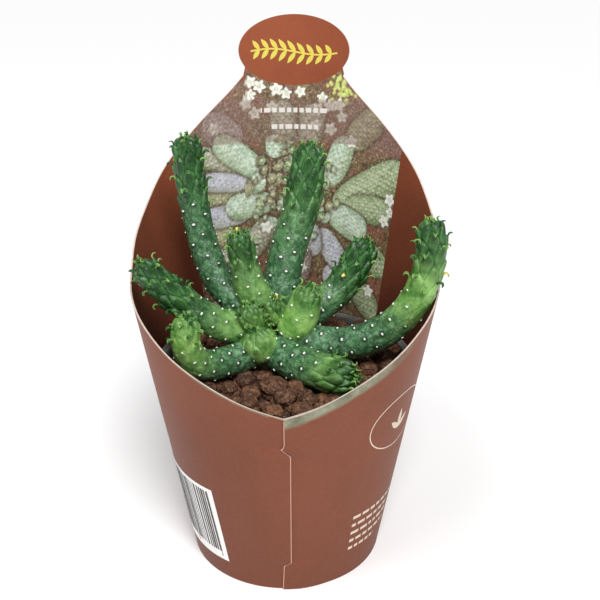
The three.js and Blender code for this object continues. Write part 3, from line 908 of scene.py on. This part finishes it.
# radii: at the base, the middle and the tip. scars_to: the share whose leaves have dropped.
# gap: the rise from one tubercle to the next. pale: the share of leaves that are pale.
# flush: where young yellow-green skin shows, its middle and width as shares, and strength.
branches = (
    dict(name="arm_right_long", radii=(5.1, 5, 3.6), scars_to=0.66, gap=0.84, pale=0.55,
         flush=(0.7, 0.13, 0.85),
         route=((3, -2, 6.5), (10, -4, 8.5), (22, -8, 9.6), (33, -11, 15), (41, -13, 25), (44.8, -14, 38),
                (44.6, -13, 51))),
    dict(name="arm_back_left", radii=(5, 4.7, 4), scars_to=0.7, gap=0.82, pale=0.1,
         flush=(0.5, 0.1, 0.0),
         route=((-3, 1, 8), (-10.5, 3, 18), (-16.5, 6, 24.5), (-21.2, 10, 35.5), (-24.2, 12, 52.5),
                (-25, 11, 69))),
    dict(name="arm_back_centre", radii=(5.3, 5.8, 4.3), scars_to=0.64, gap=0.78, pale=0.1,
         flush=(0.6, 0.2, 0.1),
         route=((1, 3, 9), (2.6, 6, 22), (4.6, 10, 32.5), (8.6, 14, 44.5), (11, 18, 57.5), (12, 19, 65))),
    dict(name="arm_left", radii=(5.1, 4.8, 3.4), scars_to=0.58, gap=0.7, pale=0.15,
         flush=(0.22, 0.24, 0.75),
         route=((-3, -1, 6.5), (-8, -4, 11.5), (-16.5, -7, 16), (-26, -11, 24.5), (-38, -14, 38))),
    dict(name="arm_front_left", radii=(4.5, 4.7, 3.9), scars_to=0.8, gap=0.62, pale=0.2,
         flush=(0.82, 0.2, 0.95),
         route=((-2, -3, 6), (-5, -8, 7.2), (-13.5, -14, 6.4), (-20.5, -19, 8.2), (-23.6, -22, 15.5),
                (-22.6, -23, 26))),
    dict(name="arm_front_right", radii=(5.3, 5.7, 4.7), scars_to=0.7, gap=0.58, pale=0.3,
         flush=(0.75, 0.15, 0.35),
         route=((1, -3, 6), (3, -9, 6.5), (8.4, -14, 5.8), (17, -20, 5.6), (25.5, -24.5, 6))),
    dict(name="arm_back_right", radii=(5.3, 5.2, 4), scars_to=0.6, gap=0.7, pale=0.15,
         flush=(0.5, 0.15, 0.1),
         yellow_leaf=(18.5, 1.0, 27.5),
         route=((4, 1, 8), (12.5, 4, 15.5), (19.5, 7, 20), (24.2, 9, 26), (30, 12, 36.5))),
    dict(name="arm_centre_short", radii=(5.5, 5.1, 2.7), scars_to=0.72, gap=0.66, pale=0.9,
         flush=(0.45, 0.3, 0.55),
         route=((-2, 0, 9), (-3.4, 1, 17.5), (-6.6, 0, 25), (-8.8, -1, 36.3), (-9.6, -2, 44))),
    dict(name="bud_right", radii=(5.2, 5.5, 3.4), scars_to=0.72, gap=0.7, pale=0.5,
         flush=(0.45, 0.42, 1.0),
         route=((4, -2, 9), (8, -4.5, 15.5), (12, -4, 28))),
    dict(name="bud_front", radii=(5.3, 5.7, 3.8), scars_to=0.6, gap=0.6, pale=0.6,
         flush=(0.45, 0.5, 0.75),
         route=((-2.4, -7, 6), (-3.6, -9.7, 9.8), (-5, -11, 17.2))),
    dict(name="bud_centre", radii=(3, 3.8, 3.2), scars_to=0.3, gap=0.5, pale=0.9,
         flush=(0.5, 0.4, 0.6),
         route=((-4, -6, 13), (-6.4, -8, 19), (-7, -9, 24))),
    dict(name="bud_crown", radii=(3, 3.4, 2.8), scars_to=0.2, gap=0.5, pale=0.9,
         flush=(0.5, 0.4, 0.7),
         route=((1, -2, 13), (1, -3.5, 19), (1, -4.5, 24))),
)


def smooth_route(points, step):
    """Evenly spaced places on a centripetal Catmull-Rom curve through the points."""
    points = np.array(points, float)
    run = np.vstack([2 * points[0] - points[1], points, 2 * points[-1] - points[-2]])
    knots = np.r_[0, np.cumsum(np.sqrt(np.linalg.norm(np.diff(run, axis=0), axis=1)))]
    dense = []
    for piece in range(len(points) - 1):
        k0, k1, k2, k3 = knots[piece:piece + 4]
        p0, p1, p2, p3 = run[piece:piece + 4]
        for at in np.linspace(k1, k2, 60, endpoint=False):
            a1 = (k1 - at) / (k1 - k0) * p0 + (at - k0) / (k1 - k0) * p1
            a2 = (k2 - at) / (k2 - k1) * p1 + (at - k1) / (k2 - k1) * p2
            a3 = (k3 - at) / (k3 - k2) * p2 + (at - k2) / (k3 - k2) * p3
            b1 = (k2 - at) / (k2 - k0) * a1 + (at - k0) / (k2 - k0) * a2
            b2 = (k3 - at) / (k3 - k1) * a2 + (at - k1) / (k3 - k1) * a3
            dense.append((k2 - at) / (k2 - k1) * b1 + (at - k1) / (k2 - k1) * b2)
    dense = np.array(dense + [points[-1]])
    reach = np.r_[0, np.cumsum(np.linalg.norm(np.diff(dense, axis=0), axis=1))]
    even = np.linspace(0, reach[-1], max(4, int(reach[-1] / step)) + 1)
    return np.stack([np.interp(even, reach, dense[:, axis]) for axis in range(3)], 1), reach[-1]


def half_width(radii, share):
    """A branch's radius before its ends are rounded."""
    at_base, at_middle, at_tip = radii
    return (at_base + (at_tip - at_base) * share
            + (at_middle - (at_base + at_tip) / 2) * 4 * share * (1 - share))


# ------------------------------------------------------------------ soil and lava stones
# The pot is filled with dark peat and lava, heaped a little in the middle. Lava stones
# of 4 to 7 mm lie on it in two loose layers: rounded, pitted and reddish brown.

soil_radius = (Vector(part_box("substrate")[1]) / MM).x
soil_middle = crown[2]
soil_edge = soil_middle - 1.2
soil_sides = 160


def soil_top(reach):
    """The height of the mix at a distance from the middle."""
    return soil_middle - (soil_middle - soil_edge) * (np.asarray(reach) / soil_radius) ** 2


def potting_mix():
    """Dark peat in crumbs."""
    material, tree, shader = finish("potting_mix", tint(52, 36, 30), 0.95)
    place = object_place(tree)
    crumbs = add(tree, "ShaderNodeTexVoronoi", place, Scale=900.0).outputs["Distance"]
    cloud = cloudy(tree, place, 260.0, 5.0)
    colour = mixed(tree, spread(tree, cloud, 0.35, 0.65), tint(30, 21, 18), tint(74, 50, 40))
    tree.links.new(colour, shader.inputs["Base Color"])
    bumpy(tree, shader, 0.8, 0.6, crumbs)
    return material


def soil():
    """The body of the mix, filling the pot."""
    rings = np.linspace(0.3, soil_radius - 0.1, 46)
    edge_drop = [(soil_radius - 0.1 - 0.155 * drop, soil_edge - drop)
                 for drop in (4, 20, 40, soil_edge - 1.6)]
    profile = [(ring, float(soil_top(ring)) - 0.6) for ring in rings] + edge_drop + [(0.3, 1.6)]
    points, faces = revolve(profile, soil_sides)
    lumps = np.array([noise.noise(Vector(p) * 0.45) + 0.5 * noise.noise(Vector(p) * 1.3) for p in points])
    top = np.arange(len(points)) < len(rings) * soil_sides
    points[:, 2] += np.where(top, 0.9 * lumps, 0)
    piece = mesh_piece("soil", points, faces[:, ::-1], [potting_mix()])
    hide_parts("substrate")


def lava():
    """Reddish-brown lava, flecked, with painted shade darkening its sunken places."""
    material, tree, shader = finish("lava_stone", tint(112, 76, 60), 0.68)
    place = object_place(tree)
    tone = read(tree, "tone")
    hollow_shade = read(tree, "hollow_shade")
    fine = cloudy(tree, place, 900.0, 5.0)
    base = mixed(tree, tone, tint(56, 34, 24), tint(124, 84, 60))
    base = mixed(tree, spread(tree, fine, 0.46, 0.7, 0.42), base, tint(172, 128, 98))
    # Painted shade: the sunken places of each stone are darkened towards near black.
    base = mixed(tree, spread(tree, hollow_shade, 0.5, 1.0, 0.62), base, tint(28, 17, 12))
    tree.links.new(base, shader.inputs["Base Color"])
    shader.inputs["Specular IOR Level"].default_value = 0.3
    pits = add(tree, "ShaderNodeTexVoronoi", place, Scale=1300.0).outputs["Distance"]
    bumpy(tree, shader, 1.0, 0.4, calc(tree, "ADD", pits, fine))
    return material


def ball(divisions):
    """The points and faces of a round ball of triangles."""
    bpy.ops.mesh.primitive_ico_sphere_add(subdivisions=divisions, radius=1)
    made = bpy.context.active_object
    points = np.array([tuple(vertex.co) for vertex in made.data.vertices])
    faces = np.array([tuple(face.vertices) for face in made.data.polygons])
    bpy.data.objects.remove(made)
    return points, faces


def stones(name, places, radii, divisions, material, draw):
    """One mesh of many lumpy stones, with a tone and a painted shade value for each point."""
    round_points, round_faces = ball(divisions)
    points, faces, tones, hollow_shades = [], [], [], []
    for place, radius in zip(places, radii):
        spin = Vector((draw.uniform(-1, 1), draw.uniform(-1, 1), draw.uniform(-1, 1))).to_track_quat("Z", "Y")
        turned = round_points @ np.array(spin.to_matrix())
        shift = Vector((draw.uniform(-50, 50), draw.uniform(-50, 50), draw.uniform(-50, 50)))
        broad = np.array([noise.noise(Vector(p) * 1.5 + shift) for p in turned])
        lumpy = np.array([noise.noise(Vector(p) * 3.6 + shift) for p in turned])
        pebbly = np.array([noise.noise(Vector(p) * 9 + shift) for p in turned])
        swell = 1 + 0.2 * broad + 0.05 * lumpy + 0.02 * pebbly
        stretch = np.array([draw.uniform(0.85, 1.3), draw.uniform(0.8, 1.15), draw.uniform(0.78, 1.0)])
        faces.append(round_faces + len(points) * len(round_points))
        points.append(turned * swell[:, None] * stretch * radius + place)
        tones.append(np.full(len(turned), draw.random()))
        # Painted shade, strongest where the stone's surface sinks in.
        hollow_shades.append(np.clip(0.5 - 2.2 * lumpy - 0.8 * broad, 0, 1))
    piece = mesh_piece(name, np.vstack(points), np.vstack(faces), [material])
    note(piece, "tone", np.concatenate(tones))
    note(piece, "hollow_shade", np.concatenate(hollow_shades))
    return piece


def lava_layers():
    """Two layers of stones strewn clear of the plant, the lower filling the gaps."""
    draw = random.Random(41)
    paths = [(smooth_route(b["route"], 1.5)[0] + crown, half_width(b["radii"], 0.5)) for b in branches]

    def clear_of_plant(place, radius, sink):
        if np.linalg.norm(place[:2] - crown[:2]) < 9.5 + radius * 0.4:
            return False
        return all(np.linalg.norm(path - place, axis=1).min() > thick + radius - sink
                   for path, thick in paths)

    def scatter(tries, small, large, height, apart, sink):
        found = []
        for _ in range(tries):
            radius = draw.uniform(small, large)
            reach = (soil_radius - 0.9 * radius) * math.sqrt(draw.random())
            angle = draw.uniform(0, 2 * math.pi)
            level = float(soil_top(reach)) + height * radius + draw.uniform(-0.4, 0.4)
            place = np.array([reach * math.cos(angle), reach * math.sin(angle), level])
            if all(np.linalg.norm(place - other) > apart * (radius + size) for other, size in found):
                if clear_of_plant(place, radius, sink):
                    found.append((place, radius))
        return found

    rock = lava()
    lower = scatter(6000, small=1.8, large=3.0, height=0.1, apart=0.8, sink=1.2)
    upper = scatter(9000, small=2.3, large=3.6, height=0.9, apart=0.96, sink=0.5)
    cad_stones = [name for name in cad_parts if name.startswith("lava_granule")]
    top = stones("upper_lava_stones", *zip(*upper), 3, rock, draw)
    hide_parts(*cad_stones)
    stones("lower_lava_stones", *zip(*lower), 2, rock, draw)


soil()
lava_layers()


# ------------------------------------------------------------------ branches
# Each branch is a fleshy cylinder whose skin is quilted into spiralling tubercles. Old
# skin is blue-green and nearly smooth with a chalky scar on each tubercle; young skin
# is brighter, its tubercles stand out, and each carries a small leaf that curls back.

spiral_step = math.radians(137.508)
around_count = 128
along_step = 0.36
sunk = 0.25        # the skin starts this far inside the branch's radius, and its cells swell out
leaf_stand = 1.8   # the leaves at the tip stand this far past the skin
peak_lean = 0.34   # a tubercle's point leans this far towards the tip
bare_foot = 0.12   # nothing grows on this share of a branch, where it leaves the thick stem


def carried_frames(points):
    """The direction of a route and two directions across it that turn as little as possible."""
    ahead = np.gradient(points, axis=0)
    ahead /= np.linalg.norm(ahead, axis=1)[:, None]
    across = np.cross(ahead[0], (0.3, 0.2, 1.0))
    sides = []
    for direction in ahead:
        across = across - direction * np.dot(across, direction)
        across = across / np.linalg.norm(across)
        sides.append(across)
    sides = np.array(sides)
    return ahead, sides, np.cross(ahead, sides)


def tubercles(skin_length, young_from, gap, draw):
    """Heights of the leaf points along the skin, their angles, and how far each cell hangs."""
    heights, turns, hangs, at = [], [], [], 0.8
    while at < skin_length - 0.3:
        young = float(eased(at, young_from - 4, young_from + 4))
        near_tip = min(max((at - skin_length + 8) / 8, 0), 1)
        step = gap * (1 - 0.1 * young) * (1 - 0.56 * near_tip)
        turns.append((len(turns) * spiral_step + draw.uniform(-0.14, 0.14)) % (2 * math.pi))
        heights.append(at + draw.uniform(-0.7, 0.7) * step)
        hangs.append(2.6 * step)
        at += step
    return np.array(heights), np.array(turns), np.array(hangs)


def quilt(cells, at, angle, radius, young, plain):
    """How the skin stands out round one height, and what shades it there."""
    heights, angles, hangs = cells
    near = np.abs(heights - at) < 8
    up = at - heights[near][:, None]
    round_way = (angle[None, :] - angles[near][:, None] + math.pi) % (2 * math.pi) - math.pi
    round_way = round_way * max(radius, 0.4)
    far = np.hypot(round_way, (up + hangs[near][:, None]) / 1.9)
    own = np.argmin(far, axis=0)
    first, second = np.partition(far, 1, axis=0)[:2]
    gap = second - first
    column = np.arange(len(angle))
    own_up, own_round = up[own, 0], round_way[own, column]
    above, below = np.clip(own_up, 0, None), np.clip(-own_up, 0, None)
    peak = np.exp(-(above / 0.7) ** 2 - (below / 2.5) ** 2 - (own_round / 1.35) ** 2)
    close = np.sqrt(up ** 2 + round_way ** 2).min(axis=0)
    plump = np.sqrt(np.clip(gap / 2.0, 0, 1))
    furrow = (1 - np.clip(gap / (0.4 + 0.6 * young), 0, 1)) ** 1.5
    thin = np.clip(radius / 3.2, 0.2, 1)
    grown = young * thin * plain
    lift = (0.06 + 0.36 * grown) * plump + 0.16 * np.exp(-(close / 0.8) ** 2) * (1 - young)
    lift = lift + 0.62 * grown * peak - (0.05 + 0.3 * grown) * furrow
    # Painted shade: a dark patch on each cell just below its leaf point.
    leaf_point_shade = np.exp(-((own_up + 0.7) / 2.0) ** 2 - (own_round / 1.15) ** 2)
    return lift, grown * peak, gap, leaf_point_shade, close


def branch_skin(branch, draw):
    """The quilted skin of one branch, what its material reads, and where its leaves stand."""
    centre, whole = smooth_route(branch["route"], along_step)
    centre = centre + crown
    ahead, side, other = carried_frames(centre)
    reach = np.linspace(0, whole, len(centre))
    length = whole - leaf_stand
    tip_radius = branch["radii"][2]
    body = reach[reach < length - tip_radius]
    dome = np.linspace(0, math.radians(88), 24)
    axis_reach = np.r_[body, length - tip_radius + tip_radius * np.sin(dome)]
    share = axis_reach / length
    base = np.clip(axis_reach / branch["radii"][0], 0.02, 1)
    rounding = np.r_[np.ones(len(body)), np.cos(dome)]
    radius = half_width(branch["radii"], share) * rounding * np.sqrt(1 - (1 - base) ** 2)
    middle, u, v, forward = (np.stack([np.interp(axis_reach, reach, line[:, k]) for k in range(3)], 1)
                             for line in (centre, side, other, ahead))
    skin_reach = np.r_[0, np.cumsum(np.hypot(np.diff(axis_reach), np.diff(radius)))]
    young = eased(share, branch["scars_to"] - 0.1, branch["scars_to"] + 0.12)
    place, wide, strength = branch["flush"]
    flush = strength * np.exp(-((share - place) / wide) ** 2)
    plain = 1 - 0.75 * flush
    lean_in = np.clip(np.gradient(radius, axis_reach + 1e-6 * np.arange(len(axis_reach))), -6, 6)

    angle = np.linspace(0, 2 * math.pi, around_count, endpoint=False)
    outward = u[:, None, :] * np.cos(angle)[None, :, None] + v[:, None, :] * np.sin(angle)[None, :, None]
    normal = outward - lean_in[:, None, None] * forward[:, None, :]
    normal /= np.linalg.norm(normal, axis=2)[:, :, None]
    cells = tubercles(skin_reach[-1], skin_reach[-1] * branch["scars_to"], branch["gap"], draw)
    quilts = [quilt(cells, at, angle, radius[k], young[k], plain[k]) for k, at in enumerate(skin_reach)]
    lift, peak, gap, leaf_point_shade, close = (np.array(values) for values in zip(*quilts))
    points = (middle[:, None] + outward * radius[:, None, None] + normal * (lift - sunk)[..., None]
              + peak_lean * forward[:, None] * peak[..., None])
    wrinkle = np.array([noise.noise(Vector(p) * 0.9) for p in points.reshape(-1, 3)])
    points = points.reshape(-1, 3) + 0.12 * wrinkle[:, None] * normal.reshape(-1, 3)

    rows = len(skin_reach)
    row, col = np.mgrid[0:rows - 1, 0:around_count]
    here, after = (row * around_count + col).ravel(), (row * around_count + (col + 1) % around_count).ravel()
    faces = np.stack([here, after, after + around_count, here + around_count], 1).tolist()
    faces.append(list(range(around_count))[::-1])
    faces.append([(rows - 1) * around_count + col for col in range(around_count)])
    shades = dict(gap=gap, leaf_point_shade=leaf_point_shade, close=close, young=np.repeat(young, around_count),
                  flush=np.repeat(flush, around_count),
                  grey=np.repeat(np.exp(-(share / 0.34) ** 2), around_count))

    spots = []
    for height, turn in zip(cells[0], cells[1]):
        k = min(np.searchsorted(skin_reach, height), rows - 1)
        out = u[k] * math.cos(turn) + v[k] * math.sin(turn)
        facing = out - lean_in[k] * forward[k]
        facing /= np.linalg.norm(facing)
        there = quilt(cells, height, np.array([turn]), radius[k], young[k], plain[k])
        rise, lean = there[0][0], there[1][0]
        stand = middle[k] + out * radius[k] + facing * (rise - sunk) + peak_lean * forward[k] * lean
        upward = np.cross(np.cross(facing, forward[k]), facing)
        upward /= max(np.linalg.norm(upward), 1e-6)
        spots.append((stand, facing, upward, share[k], height / skin_reach[-1]))
    return points, faces, shades, spots


def branch_green():
    """Green skin: mottled and netted with fine dark lines where old, quilted where young, with painted shade
    in the furrows and below each leaf point and a painted highlight beside the furrows.
    """
    material, tree, shader = finish("branch_skin", tint(60, 128, 66), 0.4)
    place = object_place(tree)
    young, flush, gap, leaf_point_shade, close, grey = (
        read(tree, name) for name in ("young", "flush", "gap", "leaf_point_shade", "close", "grey"))
    cloud = cloudy(tree, place, 210.0, 4.0)
    patch = cloudy(tree, place, 520.0, 5.0, Roughness=0.65)
    fine = cloudy(tree, place, 1900.0, 3.0)
    warp = add(tree, "ShaderNodeTexNoise", place, Scale=420.0, Detail=3.0).outputs["Color"]
    bent = add(tree, "ShaderNodeVectorMath", warp, (0.003, 0.003, 0.003), place,
               settings={"operation": "MULTIPLY_ADD"}).outputs["Vector"]
    web = add(tree, "ShaderNodeTexVoronoi", bent, Scale=360.0,
              settings={"feature": "DISTANCE_TO_EDGE"}).outputs["Distance"]
    net = spread(tree, web, 0.11, 0.0)

    old_skin = mixed(tree, spread(tree, cloud, 0.35, 0.65), tint(50, 94, 56), tint(80, 130, 82))
    old_skin = mixed(tree, spread(tree, patch, 0.5, 0.68, 0.62), old_skin, tint(142, 180, 142))
    old_skin = mixed(tree, spread(tree, patch, 0.48, 0.32, 0.6), old_skin, tint(34, 76, 42))
    bloom = calc(tree, "MULTIPLY", grey, spread(tree, patch, 0.36, 0.6, 0.62))
    old_skin = mixed(tree, bloom, old_skin, tint(134, 176, 142))
    old_skin = mixed(tree, calc(tree, "MULTIPLY", net, 0.7), old_skin, tint(26, 62, 36))
    old_skin = mixed(tree, spread(tree, close, 1.35, 0.65, 0.85), old_skin, tint(20, 50, 26))

    new_skin = mixed(tree, spread(tree, cloud, 0.35, 0.65), tint(26, 72, 24), tint(44, 98, 38))
    new_skin = mixed(tree, spread(tree, patch, 0.5, 0.72, 0.35), new_skin, tint(76, 136, 70))
    # Painted shade below each leaf point darkens the young skin.
    new_skin = mixed(tree, calc(tree, "MULTIPLY", leaf_point_shade, 0.7), new_skin, tint(10, 44, 12))
    # Painted highlight: a paler band along each side of the furrows between tubercles.
    rim = calc(tree, "MULTIPLY", spread(tree, gap, 0.2, 0.6), spread(tree, gap, 1.5, 0.7))
    rim = calc(tree, "MULTIPLY", rim, spread(tree, cloud, 0.35, 0.6, 0.45))
    new_skin = mixed(tree, rim, new_skin, tint(100, 156, 92))
    green = mixed(tree, young, old_skin, new_skin)

    bright = mixed(tree, spread(tree, cloud, 0.34, 0.62), tint(92, 150, 56), tint(174, 220, 124))
    # The same painted shade below each leaf point, lighter, on the yellow-green flush.
    bright = mixed(tree, calc(tree, "MULTIPLY", leaf_point_shade, 0.35), bright, tint(50, 112, 34))
    green = mixed(tree, calc(tree, "MULTIPLY", flush, spread(tree, cloud, 0.05, 0.42)), green, bright)
    # Painted shade: dark lines along the furrows between tubercles, softer where the skin is flushed.
    strength = calc(tree, "MULTIPLY_ADD", young, 0.08, 0.46)
    line = calc(tree, "MULTIPLY", spread(tree, gap, 0.42, 0.05), strength)
    line = calc(tree, "MULTIPLY", line, calc(tree, "MULTIPLY_ADD", flush, -0.65, 1.0))
    green = mixed(tree, line, green, tint(14, 50, 20))
    green = mixed(tree, spread(tree, fine, 0.55, 0.8, 0.25), green, tint(140, 184, 130))
    tree.links.new(green, shader.inputs["Base Color"])
    rough = add(tree, "ShaderNodeMapRange", patch, 0.3, 0.7, 0.27, 0.46).outputs["Result"]
    tree.links.new(rough, shader.inputs["Roughness"])
    height = calc(tree, "SUBTRACT", patch, calc(tree, "MULTIPLY", net, 0.3))
    bumpy(tree, shader, 0.6, 0.3, height)
    shader.inputs["Specular IOR Level"].default_value = 0.42
    shader.inputs["Subsurface Weight"].default_value = 0.08
    shader.inputs["Subsurface Radius"].default_value = (0.4, 1.0, 0.25)
    shader.inputs["Subsurface Scale"].default_value = 0.001
    return material


def leaf_green():
    """Leaves are dark along the middle with pale margins and tips; a few have gone yellow."""
    material, tree, shader = finish("leaf_skin", tint(84, 148, 62), 0.42)
    tip, margin, tone = (read(tree, name) for name in ("tip", "margin", "tone"))
    blade = mixed(tree, spread(tree, tone, 0.0, 1.0), tint(30, 88, 32), tint(76, 142, 60))
    edge = calc(tree, "MULTIPLY", spread(tree, margin, 0.35, 0.95), 0.75)
    pale = calc(tree, "MAXIMUM", edge, spread(tree, tip, 0.68, 1.0))
    pale = calc(tree, "MULTIPLY", pale, spread(tree, tone, 0.1, 0.7))
    green = mixed(tree, pale, blade, tint(168, 198, 110))
    green = mixed(tree, spread(tree, tone, 1.0, 1.5), green, tint(228, 212, 112))
    tree.links.new(green, shader.inputs["Base Color"])
    place = object_place(tree)
    fine = cloudy(tree, place, 2200.0, 3.0)
    bumpy(tree, shader, 0.3, 0.06, fine)
    return material


def scar_chalk():
    """The dry white pad that a fallen leaf leaves."""
    material, tree, shader = finish("scar_chalk", tint(226, 226, 206), 0.6)
    place = object_place(tree)
    fine = cloudy(tree, place, 2500.0, 3.0)
    chalk = mixed(tree, spread(tree, fine, 0.25, 0.55), tint(196, 208, 176), tint(252, 255, 246))
    tree.links.new(chalk, shader.inputs["Base Color"])
    return material


def curled_leaf(place, normal, up, length, start, curl, width):
    """A small channelled leaf that leaves its tubercle upwards and curls back outwards."""
    across = np.cross(up, normal)
    stations = 11
    share = np.linspace(0, 1, stations)
    heading = np.radians(start + curl * share ** 1.2)
    step = length / (stations - 1)
    moves = np.stack([np.cos(heading), np.sin(heading)], 1)[:-1] * step
    path = np.vstack([[0, 0], np.cumsum(moves, axis=0)])
    breadth = width * np.clip(np.sin(math.pi * (0.2 + 0.8 * share)) ** 0.7, 0.08, 1)
    ring = ((-1, 0.2), (-0.55, 0.02), (0, -0.05), (0.55, 0.02),
            (1, 0.2), (0.6, -0.2), (0, -0.32), (-0.6, -0.2))
    points = []
    for k in range(stations):
        spine = place + path[k, 0] * up + path[k, 1] * normal
        face = math.sin(heading[k]) * up - math.cos(heading[k]) * normal
        for s, deep in ring:
            points.append(spine + breadth[k] * (0.5 * s * across + deep * face))
    sides = len(ring)
    row, col = np.mgrid[0:stations - 1, 0:sides]
    here, after = (row * sides + col).ravel(), (row * sides + (col + 1) % sides).ravel()
    faces = np.stack([here, here + sides, after + sides, after], 1).tolist()
    faces.append(list(range(sides)))
    faces.append([(stations - 1) * sides + s for s in range(sides)][::-1])
    return np.array(points), faces, np.repeat(share, sides), np.tile([abs(s) for s, _ in ring], stations)


def scar_dome(place, normal, up, size):
    """A low chalky pad, wider across the branch than along it."""
    across = np.cross(up, normal)
    sides, points = 12, []
    for share, height in ((1.0, -0.14), (0.9, 0.1), (0.55, 0.19)):
        for s in range(sides):
            a = 2 * math.pi * s / sides
            points.append(place + size * share * (0.62 * math.cos(a) * across + 0.42 * math.sin(a) * up)
                          + height * size * normal)
    points.append(place + 0.22 * size * normal)
    faces = []
    for ring in range(2):
        for s in range(sides):
            t = (s + 1) % sides
            faces.append([ring * sides + s, ring * sides + t,
                          (ring + 1) * sides + t, (ring + 1) * sides + s])
    faces += [[2 * sides + s, 2 * sides + (s + 1) % sides, 3 * sides] for s in range(sides)]
    faces.append(list(range(sides))[::-1])
    return np.array(points), faces


def leaf_tuft(name, leaves, tones, skin):
    """Joins many leaves into one piece with what their material reads."""
    points, faces = gathered([leaf[:2] for leaf in leaves])
    tuft = mesh_piece(name, points, faces, [skin])
    note(tuft, "tip", np.concatenate([leaf[2] for leaf in leaves]))
    note(tuft, "margin", np.concatenate([leaf[3] for leaf in leaves]))
    shades = [np.full(len(leaf[2]), tone) for leaf, tone in zip(leaves, tones)]
    note(tuft, "tone", np.concatenate(shades))


def grow(branch, number, skin, leaf, chalk):
    """One branch: its skin, its leaves and its scars."""
    draw = random.Random(100 + number)
    name = branch["name"]
    points, faces, shades, spots = branch_skin(branch, draw)
    piece = mesh_piece(f"{name}_skin", points, faces, [skin])
    for key, values in shades.items():
        note(piece, key, values)
    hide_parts(name)
    yellow = np.array(branch.get("yellow_leaf", (0, 0, -99))) + crown
    nearest = min(range(len(spots)), key=lambda k: np.linalg.norm(spots[k][0] - yellow))
    leaves, tones, scars = [], [], []
    for k, (place, normal, up, share, skin_share) in enumerate(spots):
        if share < bare_foot:
            continue
        marked = "yellow_leaf" in branch and k == nearest
        if not marked and share < branch["scars_to"] + draw.uniform(-0.07, 0.07):
            scars.append(scar_dome(place, normal, up, draw.uniform(0.6, 0.88)))
            continue
        near_tip = np.clip((skin_share - 0.84) / 0.16, 0, 1)
        if not marked and draw.random() > 0.55 + 2 * near_tip:
            continue
        length = draw.uniform(2.4, 3.3) - 0.9 * near_tip
        start = draw.uniform(-5, 25) + 8 * near_tip
        curl = draw.uniform(165, 235) - 60 * near_tip
        sway = np.cross(up, normal) * draw.uniform(-0.35, 0.35)
        leaf_up = (up + sway) / np.linalg.norm(up + sway)
        width = draw.uniform(0.95, 1.3) - 0.2 * near_tip
        leaves.append(curled_leaf(place - normal * 0.15, normal, leaf_up, length, start, curl, width))
        tone = draw.random() ** (0.6 if draw.random() < branch["pale"] else 1.6)
        tones.append(1.5 if marked or draw.random() < 0.015 else tone)
    leaf_tuft(f"{name}_leaves", leaves, tones, leaf)
    if scars:
        all_points, all_faces = gathered(scars)
        dots = mesh_piece(f"{name}_scars", all_points, all_faces, [chalk])


def crown_leaves(leaf):
    """The tangle of small yellow-tipped leaves where the youngest shoots crowd together."""
    draw = random.Random(77)
    leaves, tones = [], []
    for _ in range(38):
        swing, reach = draw.uniform(0, 2 * math.pi), draw.uniform(0, 6.5)
        place = crown + np.array([-2.6 + reach * math.cos(swing), -4.6 + 0.7 * reach * math.sin(swing),
                                  13.6 - 0.25 * reach + draw.uniform(-0.8, 2.4)])
        out = np.array([math.cos(swing), math.sin(swing) - 0.3, draw.uniform(0.1, 0.6)])
        out /= np.linalg.norm(out)
        up = np.array([draw.uniform(-0.3, 0.3), draw.uniform(-0.3, 0.3), 1.0])
        up -= out * np.dot(up, out)
        up /= np.linalg.norm(up)
        leaves.append(curled_leaf(place, out, up, draw.uniform(2.4, 3.8), draw.uniform(-15, 20),
                                  draw.uniform(60, 190), draw.uniform(0.9, 1.35)))
        tones.append(draw.uniform(0.45, 1.08))
    leaf_tuft("crown_leaves", leaves, tones, leaf)


skin_green, leaf_skin, scar_white = branch_green(), leaf_green(), scar_chalk()
for number, branch in enumerate(branches):
    grow(branch, number, skin_green, leaf_skin, scar_white)
crown_leaves(leaf_skin)


# ------------------------------------------------------------------ caudex
# The short thick stem that all the branches leave, green above and corky at the soil.
# Its taproot runs down into the mix and holds the plant.

def caudex():
    """The stem and its taproot as one turned and lumpy body."""
    material, tree, shader = finish("caudex_skin", tint(96, 120, 70), 0.7)
    place = object_place(tree)
    height = add(tree, "ShaderNodeSeparateXYZ", place).outputs["Z"]
    cloud = cloudy(tree, place, 260.0, 5.0)
    bark = mixed(tree, cloud, tint(70, 58, 42), tint(128, 112, 84))
    flesh = mixed(tree, cloud, tint(58, 110, 62), tint(108, 152, 84))
    colour = mixed(tree, spread(tree, height, (crown[2] + 1) * MM, (crown[2] + 5) * MM), bark, flesh)
    tree.links.new(colour, shader.inputs["Base Color"])
    crease = cloudy(tree, place, 600.0, 5.0, Distortion=0.8)
    bumpy(tree, shader, 0.6, 0.3, crease)
    profile = [(0.2, -34), (1.5, -30), (4.8, -15), (6, -6), (8.4, 0), (9.6, 2.2), (9.9, 4), (9.7, 5.8),
               (8.6, 7.8), (6.4, 9.6), (3.5, 10.6), (0.2, 10.9)]
    fine = np.linspace(0, len(profile) - 1, 60)
    profile = [(np.interp(at, range(len(profile)), [p[0] for p in profile]),
                np.interp(at, range(len(profile)), [p[1] for p in profile])) for at in fine]
    points, faces = revolve(profile, 96)
    lumps = np.array([noise.noise(Vector(p) * 0.3) + 0.4 * noise.noise(Vector(p) * 1.1) for p in points])
    flat = points.copy()
    flat[:, 2] = 0
    flat /= np.maximum(np.linalg.norm(flat, axis=1), 1e-6)[:, None]
    points = points + flat * (0.7 * lumps - 0.3)[:, None] + crown
    piece = mesh_piece("caudex_stem", points, faces, [material])
    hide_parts("caudex")


caudex()
